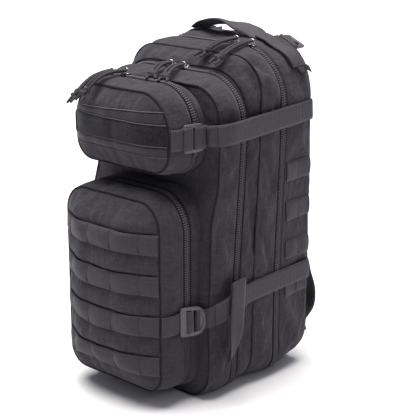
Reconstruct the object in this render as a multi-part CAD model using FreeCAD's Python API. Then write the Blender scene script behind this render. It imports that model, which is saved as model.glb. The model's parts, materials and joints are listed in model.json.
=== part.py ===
import FreeCAD, Part
import math
import os

# A trauma backpack: two clamshell compartments, one behind the other, with a lower and an upper front pocket,
# side compression straps, webbing rows, a carry handle and a shoulder harness.
# Millimetres. Seen from the front, X runs from left to right, +Y towards the wearer's back, +Z up.
# The origin is on the ground under the middle of the pack.

# ---- driving dimensions ----
FABRIC = 2.4              # wall of a coated and lined fabric shell
GAP = 0.35                # free space between pieces that move apart
ZIP_TAPE = 6.0            # half of a zip, measured across
WEBBING = 25.0            # width of the standard webbing
WEBBING_THICK = 1.8
PIPING = 2.2              # how far the corded edge stands out round a panel
CORD_R = 2.0              # zip pull cord
SHARPEST = 3.0            # smallest corner radius of an inset outline
STRAND_OFFSET = 2.7       # from the middle of a pull to each of its two strands
KNOT_R = 5.4
TIP_LONG = 13.0           # free end of a pull's cord, measured from the middle of its knot
TIP_TAPER = 0.8
TIP_LEAN = 0.35           # how far the two free ends spread

SOLE = 0.05               # pressed flat off the bottom of every piece that stands on the ground

# Outline of a fabric ring: half width, bottom, top, top corner radius, bottom corner radius,
# where its plane meets the ground, and how far it leans back per millimetre of height.
LOWER_EDGE = dict(half=78.0, low=22.0, top=254.0, r_top=32.0, r_low=24.0, y=-112.0, lean=0.0)
LOWER_ZIP = dict(half=83.0, low=16.0, top=258.0, r_top=44.0, r_low=30.0, y=-73.0, lean=0.0)
LOWER_SEAM = dict(half=83.0, low=14.0, top=259.0, r_top=44.0, r_low=30.0, y=-52.0, lean=0.04)
UPPER_EDGE = dict(half=76.0, low=286.0, top=377.0, r_top=42.0, r_low=24.0, y=-94.0, lean=0.0)
UPPER_ZIP = dict(half=83.0, low=280.0, top=383.0, r_top=48.0, r_low=30.0, y=-57.0, lean=0.0)
UPPER_SEAM = dict(half=80.0, low=283.0, top=376.0, r_top=45.0, r_low=28.0, y=-52.0, lean=0.04)
MIDDLE_EDGE = dict(half=101.0, low=-SOLE, top=380.0, r_top=38.0, r_low=30.0, y=-52.0, lean=0.04)
MIDDLE_ZIP = dict(half=104.0, low=-SOLE, top=388.0, r_top=56.0, r_low=32.0, y=-6.0, lean=0.028)
MIDDLE_SEAM = dict(half=106.0, low=-SOLE, top=404.0, r_top=52.0, r_low=32.0, y=24.0, lean=0.015)
MAIN_EDGE = dict(half=108.0, low=-SOLE, top=408.0, r_top=40.0, r_low=32.0, y=24.0, lean=0.015)
MAIN_ZIP = dict(half=110.0, low=-SOLE, top=414.0, r_top=66.0, r_low=32.0, y=68.0, lean=0.0)
BACK_EDGE = dict(half=108.0, low=-SOLE, top=418.0, r_top=66.0, r_low=35.0, y=122.0, lean=0.0)

PANEL = 2.6               # thickness of a front or back panel
CORNER_EASE = 2.5         # a panel's top corners are rounder than the gusset that turns in behind them
LOWER_CROWN = 12.0        # how far the full lower pocket bulges at the middle of its panel
UPPER_CROWN = 11.0
CROWN_INSET = 24.0
POCKET_ZIP_END = 95.0     # height where the lower pocket's zip stops on each side
UPPER_ZIP_END = 305.0
MAIN_ZIP_END = 34.0

LOWER_ROWS = (208.0, 158.0, 108.0, 58.0)
SIDE_ROWS = (264.0, 214.0, 164.0, 114.0)
UPPER_STRAP_Z = 332.0
LOWER_STRAP_Z = 108.0     # at the front stub

HANDLE_Y = 99.5
HANDLE_WIDE = 18.0        # folded over in the hand
HANDLE_THICK = 3.0
# The free arch of the handle, seen from the front, as (x, z). It stands a little fuller to the left.
HANDLE_ARCH = ((-56, 423.2), (-44, 427.6), (-30, 431.6), (-14, 433.8), (2, 434.2), (18, 433.2),
               (32, 430.6), (42, 427.0), (48, 423.2))

V = FreeCAD.Vector


def offset_outline(o, by):
    """The same outline, larger all round by that much (smaller where it is negative)."""
    grown = dict(o)
    grown.update(half=o["half"] + by, low=o["low"] - by, top=o["top"] + by,
                 r_top=max(o["r_top"] + by, SHARPEST), r_low=max(o["r_low"] + by, SHARPEST))
    return grown


def eased_outline(o):
    """The same outline with rounder top corners."""
    return dict(o, r_top=o["r_top"] + CORNER_EASE)


def moved_outline(o, dy):
    shifted = dict(o)
    shifted["y"] = o["y"] + dy
    return shifted


def between(a, b, share):
    """The outline that a ruled ring from a to b has at that share of the way."""
    return {key: a[key] + (b[key] - a[key]) * share for key in a}


def outline_wire(o):
    """Rounded rectangle in its own leaning plane."""
    half, low, top = o["half"], o["low"], o["top"]
    corners = (
        (half - o["r_top"], top - o["r_top"], o["r_top"], 0.0),
        (-half + o["r_top"], top - o["r_top"], o["r_top"], 90.0),
        (-half + o["r_low"], low + o["r_low"], o["r_low"], 180.0),
        (half - o["r_low"], low + o["r_low"], o["r_low"], 270.0),
    )

    def place(cx, cz, r, degrees):
        a = math.radians(degrees)
        return V(cx + r * math.cos(a), 0, cz + r * math.sin(a))

    edges = []
    for i, (cx, cz, r, start) in enumerate(corners):
        arc = [place(cx, cz, r, start + turn) for turn in (0.0, 45.0, 90.0)]
        following = corners[(i + 1) % 4]
        edges.append(Part.Arc(*arc).toShape())
        edges.append(Part.makeLine(arc[2], place(*following)))
    wire = Part.Wire(edges)
    wire.rotate(V(0, 0, 0), V(1, 0, 0), -math.degrees(math.atan(o["lean"])))
    wire.translate(V(0, o["y"], 0))
    return wire


def body_between(a, b):
    return Part.makeLoft([outline_wire(a), outline_wire(b)], True, True)


def ring_between(a, b, wall=FABRIC):
    """Open-ended fabric ring from outline a to outline b."""
    inner = body_between(offset_outline(a, -wall), offset_outline(b, -wall))
    return body_between(a, b).cut(inner)


def plate(o, thick, inset=0.0):
    """Flat panel whose front face is in the outline's plane."""
    a = offset_outline(o, -inset)
    return body_between(a, moved_outline(a, thick))


def slab(z0, z1, y0=-400.0, y1=400.0, x0=-400.0, x1=400.0):
    return Part.makeBox(x1 - x0, y1 - y0, z1 - z0, V(x0, y0, z0))


def mirrored(shape):
    return shape.mirror(V(0, 0, 0), V(1, 0, 0))


def pair(shape):
    return Part.makeCompound([shape, mirrored(shape)])


def depth(a, b):
    """Distance in Y between two outlines, halfway up the second."""
    half_way = (b["low"] + b["top"]) / 2
    return (b["y"] + b["lean"] * half_way) - (a["y"] + a["lean"] * half_way)


def front_half(edge, zip_outline, zip_end):
    """Gusset from a front panel to its zip, and the front half of that zip."""
    span = depth(edge, zip_outline)
    tape_start = between(edge, zip_outline, 1 - ZIP_TAPE / span)
    tape_end = between(edge, zip_outline, 1 - GAP / span)
    tape = ring_between(tape_start, tape_end)
    gusset = ring_between(edge, tape_start).fuse(tape.common(slab(-10, zip_end)))
    return gusset.common(slab(0, 500)).removeSplitter(), tape.common(slab(zip_end, 500))


def rear_half(zip_outline, seam, zip_end):
    """Gusset from a zip back to the seam it is sewn to, and the rear half of that zip."""
    span = depth(zip_outline, seam)
    tape_start = between(zip_outline, seam, GAP / span)
    tape_end = between(zip_outline, seam, ZIP_TAPE / span)
    tape = ring_between(tape_start, tape_end)
    gusset = ring_between(tape_end, seam).fuse(tape.common(slab(-10, zip_end)))
    return gusset.common(slab(0, 500)).removeSplitter(), tape.common(slab(zip_end, 500))


def crown(edge, height, lift=0.0):
    """Bulged face in front of a panel's edge, lifted forward by that much."""
    top = moved_outline(offset_outline(edge, -CROWN_INSET), -height - lift)
    return body_between(top, moved_outline(edge, -lift))


def bulged_panel(edge, height):
    """Panel that a full pocket pushes forward: a bulged sheet, open behind."""
    outside = crown(edge, height)
    hollow = crown(offset_outline(edge, -FABRIC), height - FABRIC)
    return outside.cut(hollow)


def corded_edge(edge, thick=PANEL):
    """Piping sewn round the edge of a panel, just outside it."""
    outer = offset_outline(edge, PIPING)
    ring = body_between(moved_outline(outer, -thick), outer)
    return ring.cut(body_between(moved_outline(edge, -thick - 1), moved_outline(edge, 1)))


def band_on(edge, height, z, width, start=0.1, thick=WEBBING_THICK):
    """Strip of webbing across a bulged panel."""
    strip = crown(edge, height, start + thick).cut(crown(edge, height, start))
    return strip.common(slab(z - width / 2, z + width / 2, y1=edge["y"] - start))


def sheet_strip(points, width, thick, along):
    """Flat strip through points in a plane, extruded across: points are middle-line vectors."""
    normals = []
    for i in range(len(points)):
        before = points[max(i - 1, 0)]
        after = points[min(i + 1, len(points) - 1)]
        run = (after - before).normalize()
        normals.append(run.cross(along).normalize())
    one = [p + n * (thick / 2) for p, n in zip(points, normals)]
    other = [p - n * (thick / 2) for p, n in zip(points, normals)]
    outline = one + other[::-1]
    face = Part.Face(Part.makePolygon(outline + outline[:1]))
    solid = face.extrude(along * width)
    solid.translate(along * (-width / 2))
    return solid


def arc_patch(o, x0, x1, y0, y1, lift, thick):
    """Patch that lies on the rounded top right shoulder of an outline, from x0 down to x1."""
    level = dict(o, y=y0, lean=0.0)
    outer = offset_outline(level, lift + thick)
    inner = offset_outline(level, lift)
    ring = body_between(outer, moved_outline(outer, y1 - y0))
    ring = ring.cut(body_between(moved_outline(inner, -1), moved_outline(inner, y1 - y0 + 1)))
    return ring.common(slab(o["top"] - o["r_top"], 500, x0=x0, x1=x1))


def ladder_lock(height, depth_y, thick):
    """Ladder lock lying in the YZ plane, centred on the origin: a frame, a middle bar and a grip lip."""
    bar = 3.2
    frame = Part.makeBox(thick, depth_y, height, V(-thick / 2, -depth_y / 2, -height / 2))
    window = (depth_y - 3 * bar) / 2
    for start in (-depth_y / 2 + bar, bar / 2):
        hole = Part.makeBox(thick + 2, window, height - 2 * bar,
                            V(-thick / 2 - 1, start, -height / 2 + bar))
        frame = frame.cut(hole)
    lip = Part.makeCylinder(thick * 0.62, height - 6, V(thick * 0.25, depth_y / 2 + 1.2, -height / 2 + 3),
                            V(0, 0, 1))
    return frame.fuse(lip).removeSplitter()


def turned(shape, centre, axis, degrees):
    shape.rotate(centre, axis, degrees)
    return shape


def rounded_tube(points, radius):
    """Tube along runs joined by tangent arcs, each as large as its runs allow; also the radii and length."""
    edges = []
    radii = []
    last = points[0]
    for before, corner, after in zip(points, points[1:], points[2:]):
        into = (corner - before).normalize()
        out = (after - corner).normalize()
        turn = into.getAngle(out)
        cut = 0.45 * min((corner - before).Length, (after - corner).Length)
        bend = cut / math.tan(turn / 2)
        radii.append(bend)
        start = corner - into * cut
        end = corner + out * cut
        bisector = (out - into).normalize()
        middle = corner + bisector * (bend / math.cos(turn / 2) - bend)
        edges.append(Part.makeLine(last, start))
        edges.append(Part.Arc(start, middle, end).toShape())
        last = end
    edges.append(Part.makeLine(last, points[-1]))
    path = Part.Wire(edges)
    start_way = (points[1] - points[0]).normalize()
    ring = Part.Wire(Part.makeCircle(radius, points[0], start_way))
    return path.makePipeShell([ring], True, True), radii, path.Length


def strands(middle, side):
    """The route out along one strand of a pull, through its knot, and back along the other."""
    out = [p + side * STRAND_OFFSET for p in middle]
    back = [p - side * STRAND_OFFSET for p in middle]
    return out + back[::-1]


# ---- zips, sliders and pulls ----
SLIDER_LONG = 13.0
SLIDER_WIDE = 9.0
SLIDER_HIGH = 3.6
SLIDER_LIFT = 0.7         # the slider's plate rides this far above the teeth
VALLEY_LIFT = 1.6         # the same where the fabric rises on both sides of the zip
MIDDLE_TILT = 22.0        # the middle zip lies in such a valley, tipped forward
EYE_HIGH = 5.0


def slider(at, up, along):
    """Zip slider: a plate over the teeth and a bridge that holds the pull. up is away from the fabric."""
    across = up.cross(along)
    base = at + up * (VALLEY_LIFT if abs(up.y) > 0 else SLIDER_LIFT)

    def block(length, width, z0, z1, shift=0.0):
        corner = (base + along * (shift - length / 2) - across * (width / 2) + up * z0)
        face = Part.Face(Part.makePolygon([
            corner,
            corner + along * length,
            corner + along * length + across * width,
            corner + across * width,
            corner,
        ]))
        return face.extrude(up * (z1 - z0))

    plate_top = block(SLIDER_LONG, SLIDER_WIDE, 0, SLIDER_HIGH)
    left = block(1.6, 3.0, SLIDER_HIGH, SLIDER_HIGH + EYE_HIGH, -4.0)
    right = block(1.6, 3.0, SLIDER_HIGH, SLIDER_HIGH + EYE_HIGH, 4.0)
    roof = block(9.6, 3.0, SLIDER_HIGH + EYE_HIGH, SLIDER_HIGH + EYE_HIGH + 1.4)
    return plate_top.fuse([left, right, roof]).removeSplitter()


def on_arc(o, degrees):
    """Point on the top corner of an outline, that far round from straight up, and its outward way."""
    side = 1 if degrees >= 0 else -1
    a = math.radians(degrees)
    centre = V(side * (o["half"] - o["r_top"]), 0, o["top"] - o["r_top"])
    way = V(math.sin(a), 0, math.cos(a))
    point = centre + way * o["r_top"]
    point.y = o["y"] + o["lean"] * point.z
    return point, way


def on_top(o, x, tilt=0.0):
    """Point on the straight top of an outline; tilt turns the outward way towards the front."""
    a = math.radians(tilt)
    return V(x, o["y"] + o["lean"] * o["top"], o["top"]), V(0, -math.sin(a), math.cos(a))


def on_side(o, z):
    return V(-o["half"], o["y"] + o["lean"] * z, z), V(-1, 0, 0)


SLIDERS = {
    "main_left": on_top(MAIN_ZIP, 34.0),
    "main_right": on_arc(MAIN_ZIP, 12.0),
    "middle_left": on_top(MIDDLE_ZIP, -13.0, MIDDLE_TILT),
    "middle_right": on_top(MIDDLE_ZIP, 8.0, MIDDLE_TILT),
    "upper_left": on_arc(UPPER_ZIP, -20.0),
    "upper_right": on_top(UPPER_ZIP, -30.0),
    "lower_high": on_arc(LOWER_ZIP, -72.0),
    "lower_low": on_side(LOWER_ZIP, 205.0),
}

# Where each pull lies: its middle line from the slider's bridge to its knot, and the way from one strand
# to the other.
PULLS = {
    "main_left": ([V(35, 64, 421.4), V(35, 48, 421.4), V(33, 32, 418.4), V(30, 17, 411.4)], V(1, 0, 0)),
    "main_right": ([V(58.6, 64, 420.2), V(58, 48, 419.6), V(57, 30, 414.4), V(56, 13, 406.4)], V(1, 0, 0)),
    "middle_left": ([V(-13, -2, 394.2), V(-10, -16, 395.4), V(-3, -33, 393.6), V(8, -50, 389.2)],
                    V(1, 0.4, 0)),
    "middle_right": ([V(8, -2, 394.2), V(11, -16, 395.0), V(18, -33, 393.0), V(28, -50, 388.6)],
                     V(1, 0.4, 0)),
    "upper_left": ([V(-53.8, -61.4, 387.2), V(-55, -77, 387.0), V(-58, -94, 379.2), V(-61, -109.6, 364.8)],
                   V(0.94, -0.1, 0.34)),
    "upper_right": ([V(-30, -61.4, 390.2), V(-32, -78, 391.4), V(-37, -98, 386), V(-43.5, -111, 369.6)],
                    V(1, 0, 0)),
    "lower_high": ([V(-89.6, -76.5, 221.4), V(-90.8, -84.6, 210), V(-91, -88, 197), V(-90.6, -89, 185)],
                   V(0, 1, 0.3)),
    "lower_low": ([V(-90.2, -73, 197.4), V(-90.8, -71, 186), V(-91, -69, 173), V(-90.6, -68, 161)],
                  V(0, 1, 0.1)),
}


def pull(name, middle, side):
    """Cord loop, its knot and its two ends. Prints the loop's length, bend radii, and volume by section."""
    side = V(side).normalize()
    loop, radii, length = rounded_tube(strands(middle, side), CORD_R)
    section = math.pi * CORD_R ** 2
    print(name, "cord", round(length, 1), "long, radii", [round(r, 1) for r in radii],
          "volume", round(loop.Volume, 1), "of", round(section * length, 1))
    way = (middle[-1] - middle[-2]).normalize()
    knot_at = middle[-1] - way
    knot = Part.makeSphere(KNOT_R, knot_at)
    ends = [
        Part.makeCone(CORD_R, CORD_R * TIP_TAPER, TIP_LONG, knot_at, (way + side * lean).normalize())
        for lean in (TIP_LEAN, -TIP_LEAN)
    ]
    return loop.fuse([knot] + ends)


# ---- the pieces ----
parts = {}

# Upper and lower front pockets: a front shell that folds forward, and a tray sewn to the middle panel.
POCKETS = {
    "lower": (LOWER_EDGE, LOWER_ZIP, LOWER_SEAM, LOWER_CROWN, POCKET_ZIP_END),
    "upper": (UPPER_EDGE, UPPER_ZIP, UPPER_SEAM, UPPER_CROWN, UPPER_ZIP_END),
}
for name, (edge, zip_outline, seam, height, zip_end) in POCKETS.items():
    gusset, zip_front = front_half(edge, zip_outline, zip_end)
    tray, zip_rear = rear_half(zip_outline, seam, zip_end)
    parts[name + "_pocket_gusset"] = gusset
    parts[name + "_zip_front"] = zip_front
    parts[name + "_pocket_tray"] = tray
    parts[name + "_zip_rear"] = zip_rear
    parts[name + "_pocket_panel"] = Part.makeCompound([bulged_panel(edge, height), corded_edge(edge)])

parts["front_webbing"] = Part.makeCompound(
    [band_on(LOWER_EDGE, LOWER_CROWN, z, WEBBING) for z in LOWER_ROWS])
parts["loop_field"] = Part.makeCompound([
    band_on(UPPER_EDGE, UPPER_CROWN, z0 + (z1 - z0) / 2, z1 - z0 - 0.4, 0.1, 1.6)
    for z0, z1 in ((307.0, 319.5), (319.5, 344.5), (344.5, 361.0))
])

# Middle and main compartments.
gusset, zip_front = front_half(MIDDLE_EDGE, MIDDLE_ZIP, MAIN_ZIP_END)
parts["middle_front_gusset"] = gusset
parts["middle_zip_front"] = zip_front
parts["middle_front_panel"] = Part.makeCompound([
    plate(eased_outline(offset_outline(MIDDLE_EDGE, -FABRIC - 0.05)), PANEL),
    corded_edge(MIDDLE_EDGE).common(slab(0, 500)),
])
tray, zip_rear = rear_half(MIDDLE_ZIP, MIDDLE_SEAM, MAIN_ZIP_END)
parts["middle_tray"] = tray
parts["middle_zip_rear"] = zip_rear
gusset, zip_front = front_half(MAIN_EDGE, MAIN_ZIP, MAIN_ZIP_END)
parts["main_front_gusset"] = gusset
parts["main_zip_front"] = zip_front
parts["main_front_panel"] = Part.makeCompound([
    plate(eased_outline(offset_outline(MAIN_EDGE, -FABRIC - 0.05)), PANEL),
    corded_edge(MAIN_EDGE).common(slab(0, 500)).cut(body_between(MIDDLE_ZIP, MIDDLE_SEAM)),
])
tray, zip_rear = rear_half(MAIN_ZIP, BACK_EDGE, MAIN_ZIP_END)
parts["rear_gusset"] = tray
parts["main_zip_rear"] = zip_rear

# Back: fabric panel, foam pads over it, stiffener sheet and inner sleeve inside.
parts["back_panel"] = plate(BACK_EDGE, PANEL)
PAD_Y = BACK_EDGE["y"] + PANEL + 0.1
PAD_THICK = 9.0
PAD_Z = ((66.0, 130.0), (140.0, 250.0), (262.0, 366.0))


def foam_pad(x0, x1, z0, z1):
    o = dict(half=(x1 - x0) / 2, low=z0, top=z1, r_top=12.0, r_low=12.0, y=PAD_Y, lean=0.0)
    top = moved_outline(offset_outline(o, -5.0), PAD_THICK)
    pad = body_between(o, top)
    pad.translate(V((x0 + x1) / 2, 0, 0))
    return pad


parts["back_pads"] = Part.makeCompound(
    [foam_pad(x0, x1, z0, z1) for z0, z1 in PAD_Z for x0, x1 in ((-92, -8), (8, 92))])
SHEET_Y = BACK_EDGE["y"] - 4.0
parts["frame_sheet"] = plate(dict(BACK_EDGE, y=SHEET_Y, half=98.0, low=12.0, top=404.0, r_top=56.0,
                                  r_low=26.0), 1.5)
parts["inner_sleeve"] = plate(dict(BACK_EDGE, y=SHEET_Y - 4.0, half=88.0, low=14.0, top=300.0, r_top=8.0,
                                   r_low=14.0), 2.0)
parts["organiser_panel"] = plate(dict(MAIN_EDGE, y=MAIN_EDGE["y"] + PANEL + 3.0, half=88.0, low=30.0,
                                      top=330.0, r_top=10.0, r_low=10.0), 2.0)

# Webbing rows on each side of the rear gusset.
row_y = (MAIN_ZIP["y"] + ZIP_TAPE + 1.5, BACK_EDGE["y"] - 1.0)
right_rows = [
    Part.makeBox(WEBBING_THICK, row_y[1] - row_y[0], WEBBING,
                 V(MAIN_ZIP["half"] + 0.1, row_y[0], z - WEBBING / 2))
    for z in SIDE_ROWS
]
parts["side_webbing"] = Part.makeCompound(right_rows + [mirrored(row) for row in right_rows])


# Side compression straps: long run on the pack, short run round the middle compartment, stub and ladder
# lock on each pocket. The long run lies outside the side webbing.
STRAP_X = MAIN_ZIP["half"] + WEBBING_THICK + 0.5
TAIL_X = STRAP_X + WEBBING_THICK + 0.3
HANG_X = TAIL_X + WEBBING_THICK + 0.3


def side_band(x, *route):
    """Webbing flat against the side at that x, along (y, z) points."""
    band = sheet_strip([V(0, y, z) for y, z in route], WEBBING_THICK, WEBBING, V(1, 0, 0))
    band.translate(V(x + WEBBING_THICK / 2, 0, 0))
    return band


upper_long = side_band(STRAP_X, (-46, UPPER_STRAP_Z - 3), (30, UPPER_STRAP_Z), (122, UPPER_STRAP_Z + 4))
upper_tail = side_band(TAIL_X, (-42, UPPER_STRAP_Z - 3), (30, UPPER_STRAP_Z), (98, UPPER_STRAP_Z + 3))
parts["upper_side_straps"] = Part.makeCompound(
    [upper_long, upper_tail, mirrored(upper_long), mirrored(upper_tail)])
LOWER_RUN = ((-40, 112.5), (-14, 123), (10, 128), (60, 129.5), (122, 130.5))
lower_long = side_band(STRAP_X, *LOWER_RUN)
lower_tail = side_band(TAIL_X, (-38, 113.5), (-14, 123), (-6, 125.5))
hang = side_band(HANG_X, (-20, 152), (-21, 120), (-26, 88), (-34, 56), (-41, 28))
parts["lower_side_straps"] = Part.makeCompound(
    [lower_long, lower_tail, hang, mirrored(lower_long), mirrored(lower_tail), mirrored(hang)])


def front_run(z0, z1, y0, y1):
    """Strap from a ladder lock back to the corner of the middle compartment."""
    return sheet_strip([V(96.5, y0, z0), V(107.2, y1, z1)], WEBBING, WEBBING_THICK, V(0, 0, 1))


RUNS = (
    front_run(UPPER_STRAP_Z - 4.5, UPPER_STRAP_Z - 3.5, -49.0, -43.6),
    front_run(LOWER_STRAP_Z + 1.5, LOWER_STRAP_Z + 4.0, -58.0, -52.6),
)
parts["strap_front_runs"] = Part.makeCompound([side for run in RUNS for side in (run, mirrored(run))])

# Stubs sewn into the pockets' front seams, and the ladder locks they hold.
LOCK_HIGH = 35.0
LOCK_DEEP = 30.0
LOCK_THICK = 3.4
LOCK_X = 88.6
LOCK_TURN = -11.0         # the strap pulls a lock's rear end outwards
STUBS = {
    "lower": (LOWER_STRAP_Z, LOWER_EDGE["y"] + 3.0, -67.0),
    "upper": (UPPER_STRAP_Z - 4.5, UPPER_EDGE["y"] + 3.0, -63.5),
}
for name, (z, y_start, lock_y) in STUBS.items():
    stub_end = lock_y - LOCK_DEEP / 2 - 0.6
    stub = Part.makeBox(WEBBING_THICK, stub_end - y_start, WEBBING, V(83.4, y_start, z - WEBBING / 2))
    parts[name + "_strap_stubs"] = pair(stub)
    lock = turned(ladder_lock(LOCK_HIGH, LOCK_DEEP, LOCK_THICK), V(0, 0, 0), V(0, 0, 1), LOCK_TURN)
    lock.translate(V(LOCK_X, lock_y, z))
    parts[name + "_ladder_locks"] = pair(lock)

# Top: yoke tabs over the shoulders, the handle's sewn ends, the load lifter locks and the handle.
yoke = arc_patch(BACK_EDGE, 58.0, 100.0, 97.0, 121.5, 0.15, 2.0)
end_y = (HANDLE_Y - WEBBING / 2, HANDLE_Y + WEBBING / 2)
right_end = arc_patch(BACK_EDGE, HANDLE_ARCH[-1][0] + 1.5, 93.0, *end_y, 2.3, WEBBING_THICK)
left_end = mirrored(arc_patch(BACK_EDGE, -HANDLE_ARCH[0][0] + 1.5, 93.0, *end_y, 2.3, WEBBING_THICK))
parts["shoulder_yoke"] = Part.makeCompound([yoke, mirrored(yoke), right_end, left_end])
lifter = turned(ladder_lock(26.0, 16.0, 4.0), V(0, 0, 0), V(0, 1, 0), 90.0 + 24.0)
lifter.translate(V(68.0, 134.0, 412.0))
parts["load_lifter_locks"] = pair(lifter)
parts["carry_handle"] = sheet_strip([V(x, HANDLE_Y, z) for x, z in HANDLE_ARCH], HANDLE_WIDE, HANDLE_THICK,
                                    V(0, 1, 0))

# Harness: padded straps hung from the yoke, with the webbing and locks at their lower ends.
STRAP_Y = PAD_Y + PAD_THICK + 2.0


def shoulder_strap():
    side = [V(0, STRAP_Y + 2, 398), V(0, STRAP_Y + 9, 360), V(0, STRAP_Y + 15, 300), V(0, STRAP_Y + 15, 230),
            V(0, STRAP_Y + 9, 175), V(0, STRAP_Y + 4, 148)]
    profile = sheet_strip(side, 220.0, 11.0, V(1, 0, 0))
    front = Part.makePolygon([V(14, 0, 400), V(64, 0, 400), V(84, 0, 300), V(92, 0, 220), V(90, 0, 140),
                              V(64, 0, 140), V(38, 0, 220), V(24, 0, 300), V(14, 0, 400)])
    return profile.common(Part.Face(front).extrude(V(0, 400, 0)))


parts["shoulder_straps"] = pair(shoulder_strap())
lower_lock = ladder_lock(30.0, 22.0, 4.0)
lower_lock = turned(turned(lower_lock, V(0, 0, 0), V(0, 0, 1), 90.0), V(0, 0, 0), V(0, 1, 0), 90.0)
lower_lock.translate(V(80.0, STRAP_Y + 4.0, 132.0))
webbing_route = [V(0, STRAP_Y + 1, 118), V(0, STRAP_Y + 12, 92), V(0, STRAP_Y + 14, 78),
                 V(0, STRAP_Y + 10, 66), V(0, 130, 53)]
lower_webbing = sheet_strip(webbing_route, WEBBING, WEBBING_THICK, V(1, 0, 0))
lower_webbing.translate(V(89.0, 0, 0))
parts["harness_webbing"] = pair(lower_webbing)
wing = Part.Face(Part.makePolygon([V(74, 126, 36), V(100, 126, 36), V(102, 126, 60), V(78, 126, 60),
                                   V(74, 126, 36)])).extrude(V(0, 2.2, 0))
parts["corner_tabs"] = pair(wing)

# Sternum strap: webbing from each shoulder strap, and a side-release buckle between them.
STERNUM_Z = 300.0
STERNUM_Y = STRAP_Y + 23.5
STERNUM_WIDE = 20.0
SOCKET_END = -12.0        # the socket's and the clip's outer ends, along X
CLIP_END = 19.4
STRAP_INNER_X = 66.0      # where the strap is sewn to each shoulder strap
sternum_runs = (
    (CLIP_END + 16.6, STRAP_INNER_X),
    (-STRAP_INNER_X, SOCKET_END),
)
parts["sternum_webbing"] = Part.makeCompound([
    Part.makeBox(x1 - x0, WEBBING_THICK, STERNUM_WIDE, V(x0, STERNUM_Y, STERNUM_Z - STERNUM_WIDE / 2))
    for x0, x1 in sternum_runs
])
socket = Part.makeBox(24.0, 8.0, 26.0, V(SOCKET_END, STERNUM_Y - 3.0, STERNUM_Z - 13))
socket = socket.cut(Part.makeBox(20.0, 4.6, 20.0, V(-7.0, STERNUM_Y - 1.3, STERNUM_Z - 10)))
parts["harness_locks"] = Part.makeCompound([lower_lock, mirrored(lower_lock), socket])
clip = Part.makeBox(7.0, 7.0, 25.0, V(12.4, STERNUM_Y - 2.5, STERNUM_Z - 12.5))
prongs = [Part.makeBox(17.0, 3.4, 3.4, V(-4.6, STERNUM_Y - 0.7, STERNUM_Z + z)) for z in (-9.0, -1.7, 5.6)]
parts["sternum_clip"] = clip.fuse(prongs).removeSplitter()

for name, (at, up) in SLIDERS.items():
    along = V(1, 0, 0) if abs(up.z) > 0.999 else up.cross(V(0, 1, 0)).normalize()
    parts[name + "_slider"] = slider(at, up, along)
for name, (middle, side) in PULLS.items():
    parts[name + "_pull"] = pull(name, middle, side)

os.makedirs("parts", exist_ok=True)
for name, shape in parts.items():
    if not shape.isValid() or shape.Volume <= 0:
        print("check", name, shape.isValid(), round(shape.Volume, 1))
    shape.exportStep("parts/" + name + ".step")
print(len(parts), "nodes")
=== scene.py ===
import json
import math

import bpy
import numpy as np
from mathutils import Matrix, Vector, noise
from mathutils.bvhtree import BVHTree
from mathutils.geometry import delaunay_2d_cdt

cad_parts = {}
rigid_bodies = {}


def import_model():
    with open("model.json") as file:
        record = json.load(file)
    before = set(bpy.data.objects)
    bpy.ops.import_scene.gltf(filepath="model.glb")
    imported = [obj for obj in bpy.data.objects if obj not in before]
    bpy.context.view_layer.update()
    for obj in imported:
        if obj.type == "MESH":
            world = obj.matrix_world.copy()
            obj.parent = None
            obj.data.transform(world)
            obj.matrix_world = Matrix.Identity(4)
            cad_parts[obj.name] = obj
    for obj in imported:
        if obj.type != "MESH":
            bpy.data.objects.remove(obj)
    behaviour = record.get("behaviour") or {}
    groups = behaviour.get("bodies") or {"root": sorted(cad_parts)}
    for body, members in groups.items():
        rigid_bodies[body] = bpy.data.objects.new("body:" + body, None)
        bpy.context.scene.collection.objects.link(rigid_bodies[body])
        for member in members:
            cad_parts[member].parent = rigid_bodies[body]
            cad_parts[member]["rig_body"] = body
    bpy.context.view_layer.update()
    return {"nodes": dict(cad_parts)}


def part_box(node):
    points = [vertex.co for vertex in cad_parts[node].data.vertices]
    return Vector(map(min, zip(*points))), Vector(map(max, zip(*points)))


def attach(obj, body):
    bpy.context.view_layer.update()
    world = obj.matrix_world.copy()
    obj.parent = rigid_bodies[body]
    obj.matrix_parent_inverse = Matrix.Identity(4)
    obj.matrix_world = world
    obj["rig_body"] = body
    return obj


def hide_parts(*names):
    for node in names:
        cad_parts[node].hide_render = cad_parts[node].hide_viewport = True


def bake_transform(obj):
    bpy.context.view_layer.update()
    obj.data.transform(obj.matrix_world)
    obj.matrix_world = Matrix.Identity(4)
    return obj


# A trauma backpack's looks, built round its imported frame. Lengths are in millimetres until a mesh is made.
# X is the pack's width, +Y towards the wearer's back, +Z up; the front is -Y.

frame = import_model()
NODES = frame["nodes"]
MM = 0.001
UP = Vector((0, 0, 1))

# ---- driving dimensions, as the frame has them ----
LOWER_EDGE = dict(half=78, low=22, top=254, r_top=32, r_low=24, y=-112, lean=0)
LOWER_ZIP = dict(half=83, low=16, top=258, r_top=44, r_low=30, y=-73, lean=0)
LOWER_SEAM = dict(half=83, low=14, top=259, r_top=44, r_low=30, y=-52, lean=0.04)
UPPER_EDGE = dict(half=76, low=286, top=377, r_top=42, r_low=24, y=-94, lean=0)
UPPER_ZIP = dict(half=83, low=280, top=383, r_top=48, r_low=30, y=-57, lean=0)
UPPER_SEAM = dict(half=80, low=283, top=376, r_top=45, r_low=28, y=-52, lean=0.04)
MIDDLE_EDGE = dict(half=101, low=3, top=380, r_top=38, r_low=32, y=-52, lean=0.04)
MIDDLE_ZIP = dict(half=104, low=0, top=388, r_top=56, r_low=32, y=-6, lean=0.028)
MIDDLE_SEAM = dict(half=107, low=7, top=407, r_top=43, r_low=38, y=24, lean=0.015)
MAIN_EDGE = dict(half=108, low=6, top=408, r_top=42, r_low=38, y=24, lean=0.015)
MAIN_ZIP = dict(half=110, low=1, top=414, r_top=66, r_low=32, y=68, lean=0)
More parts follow.
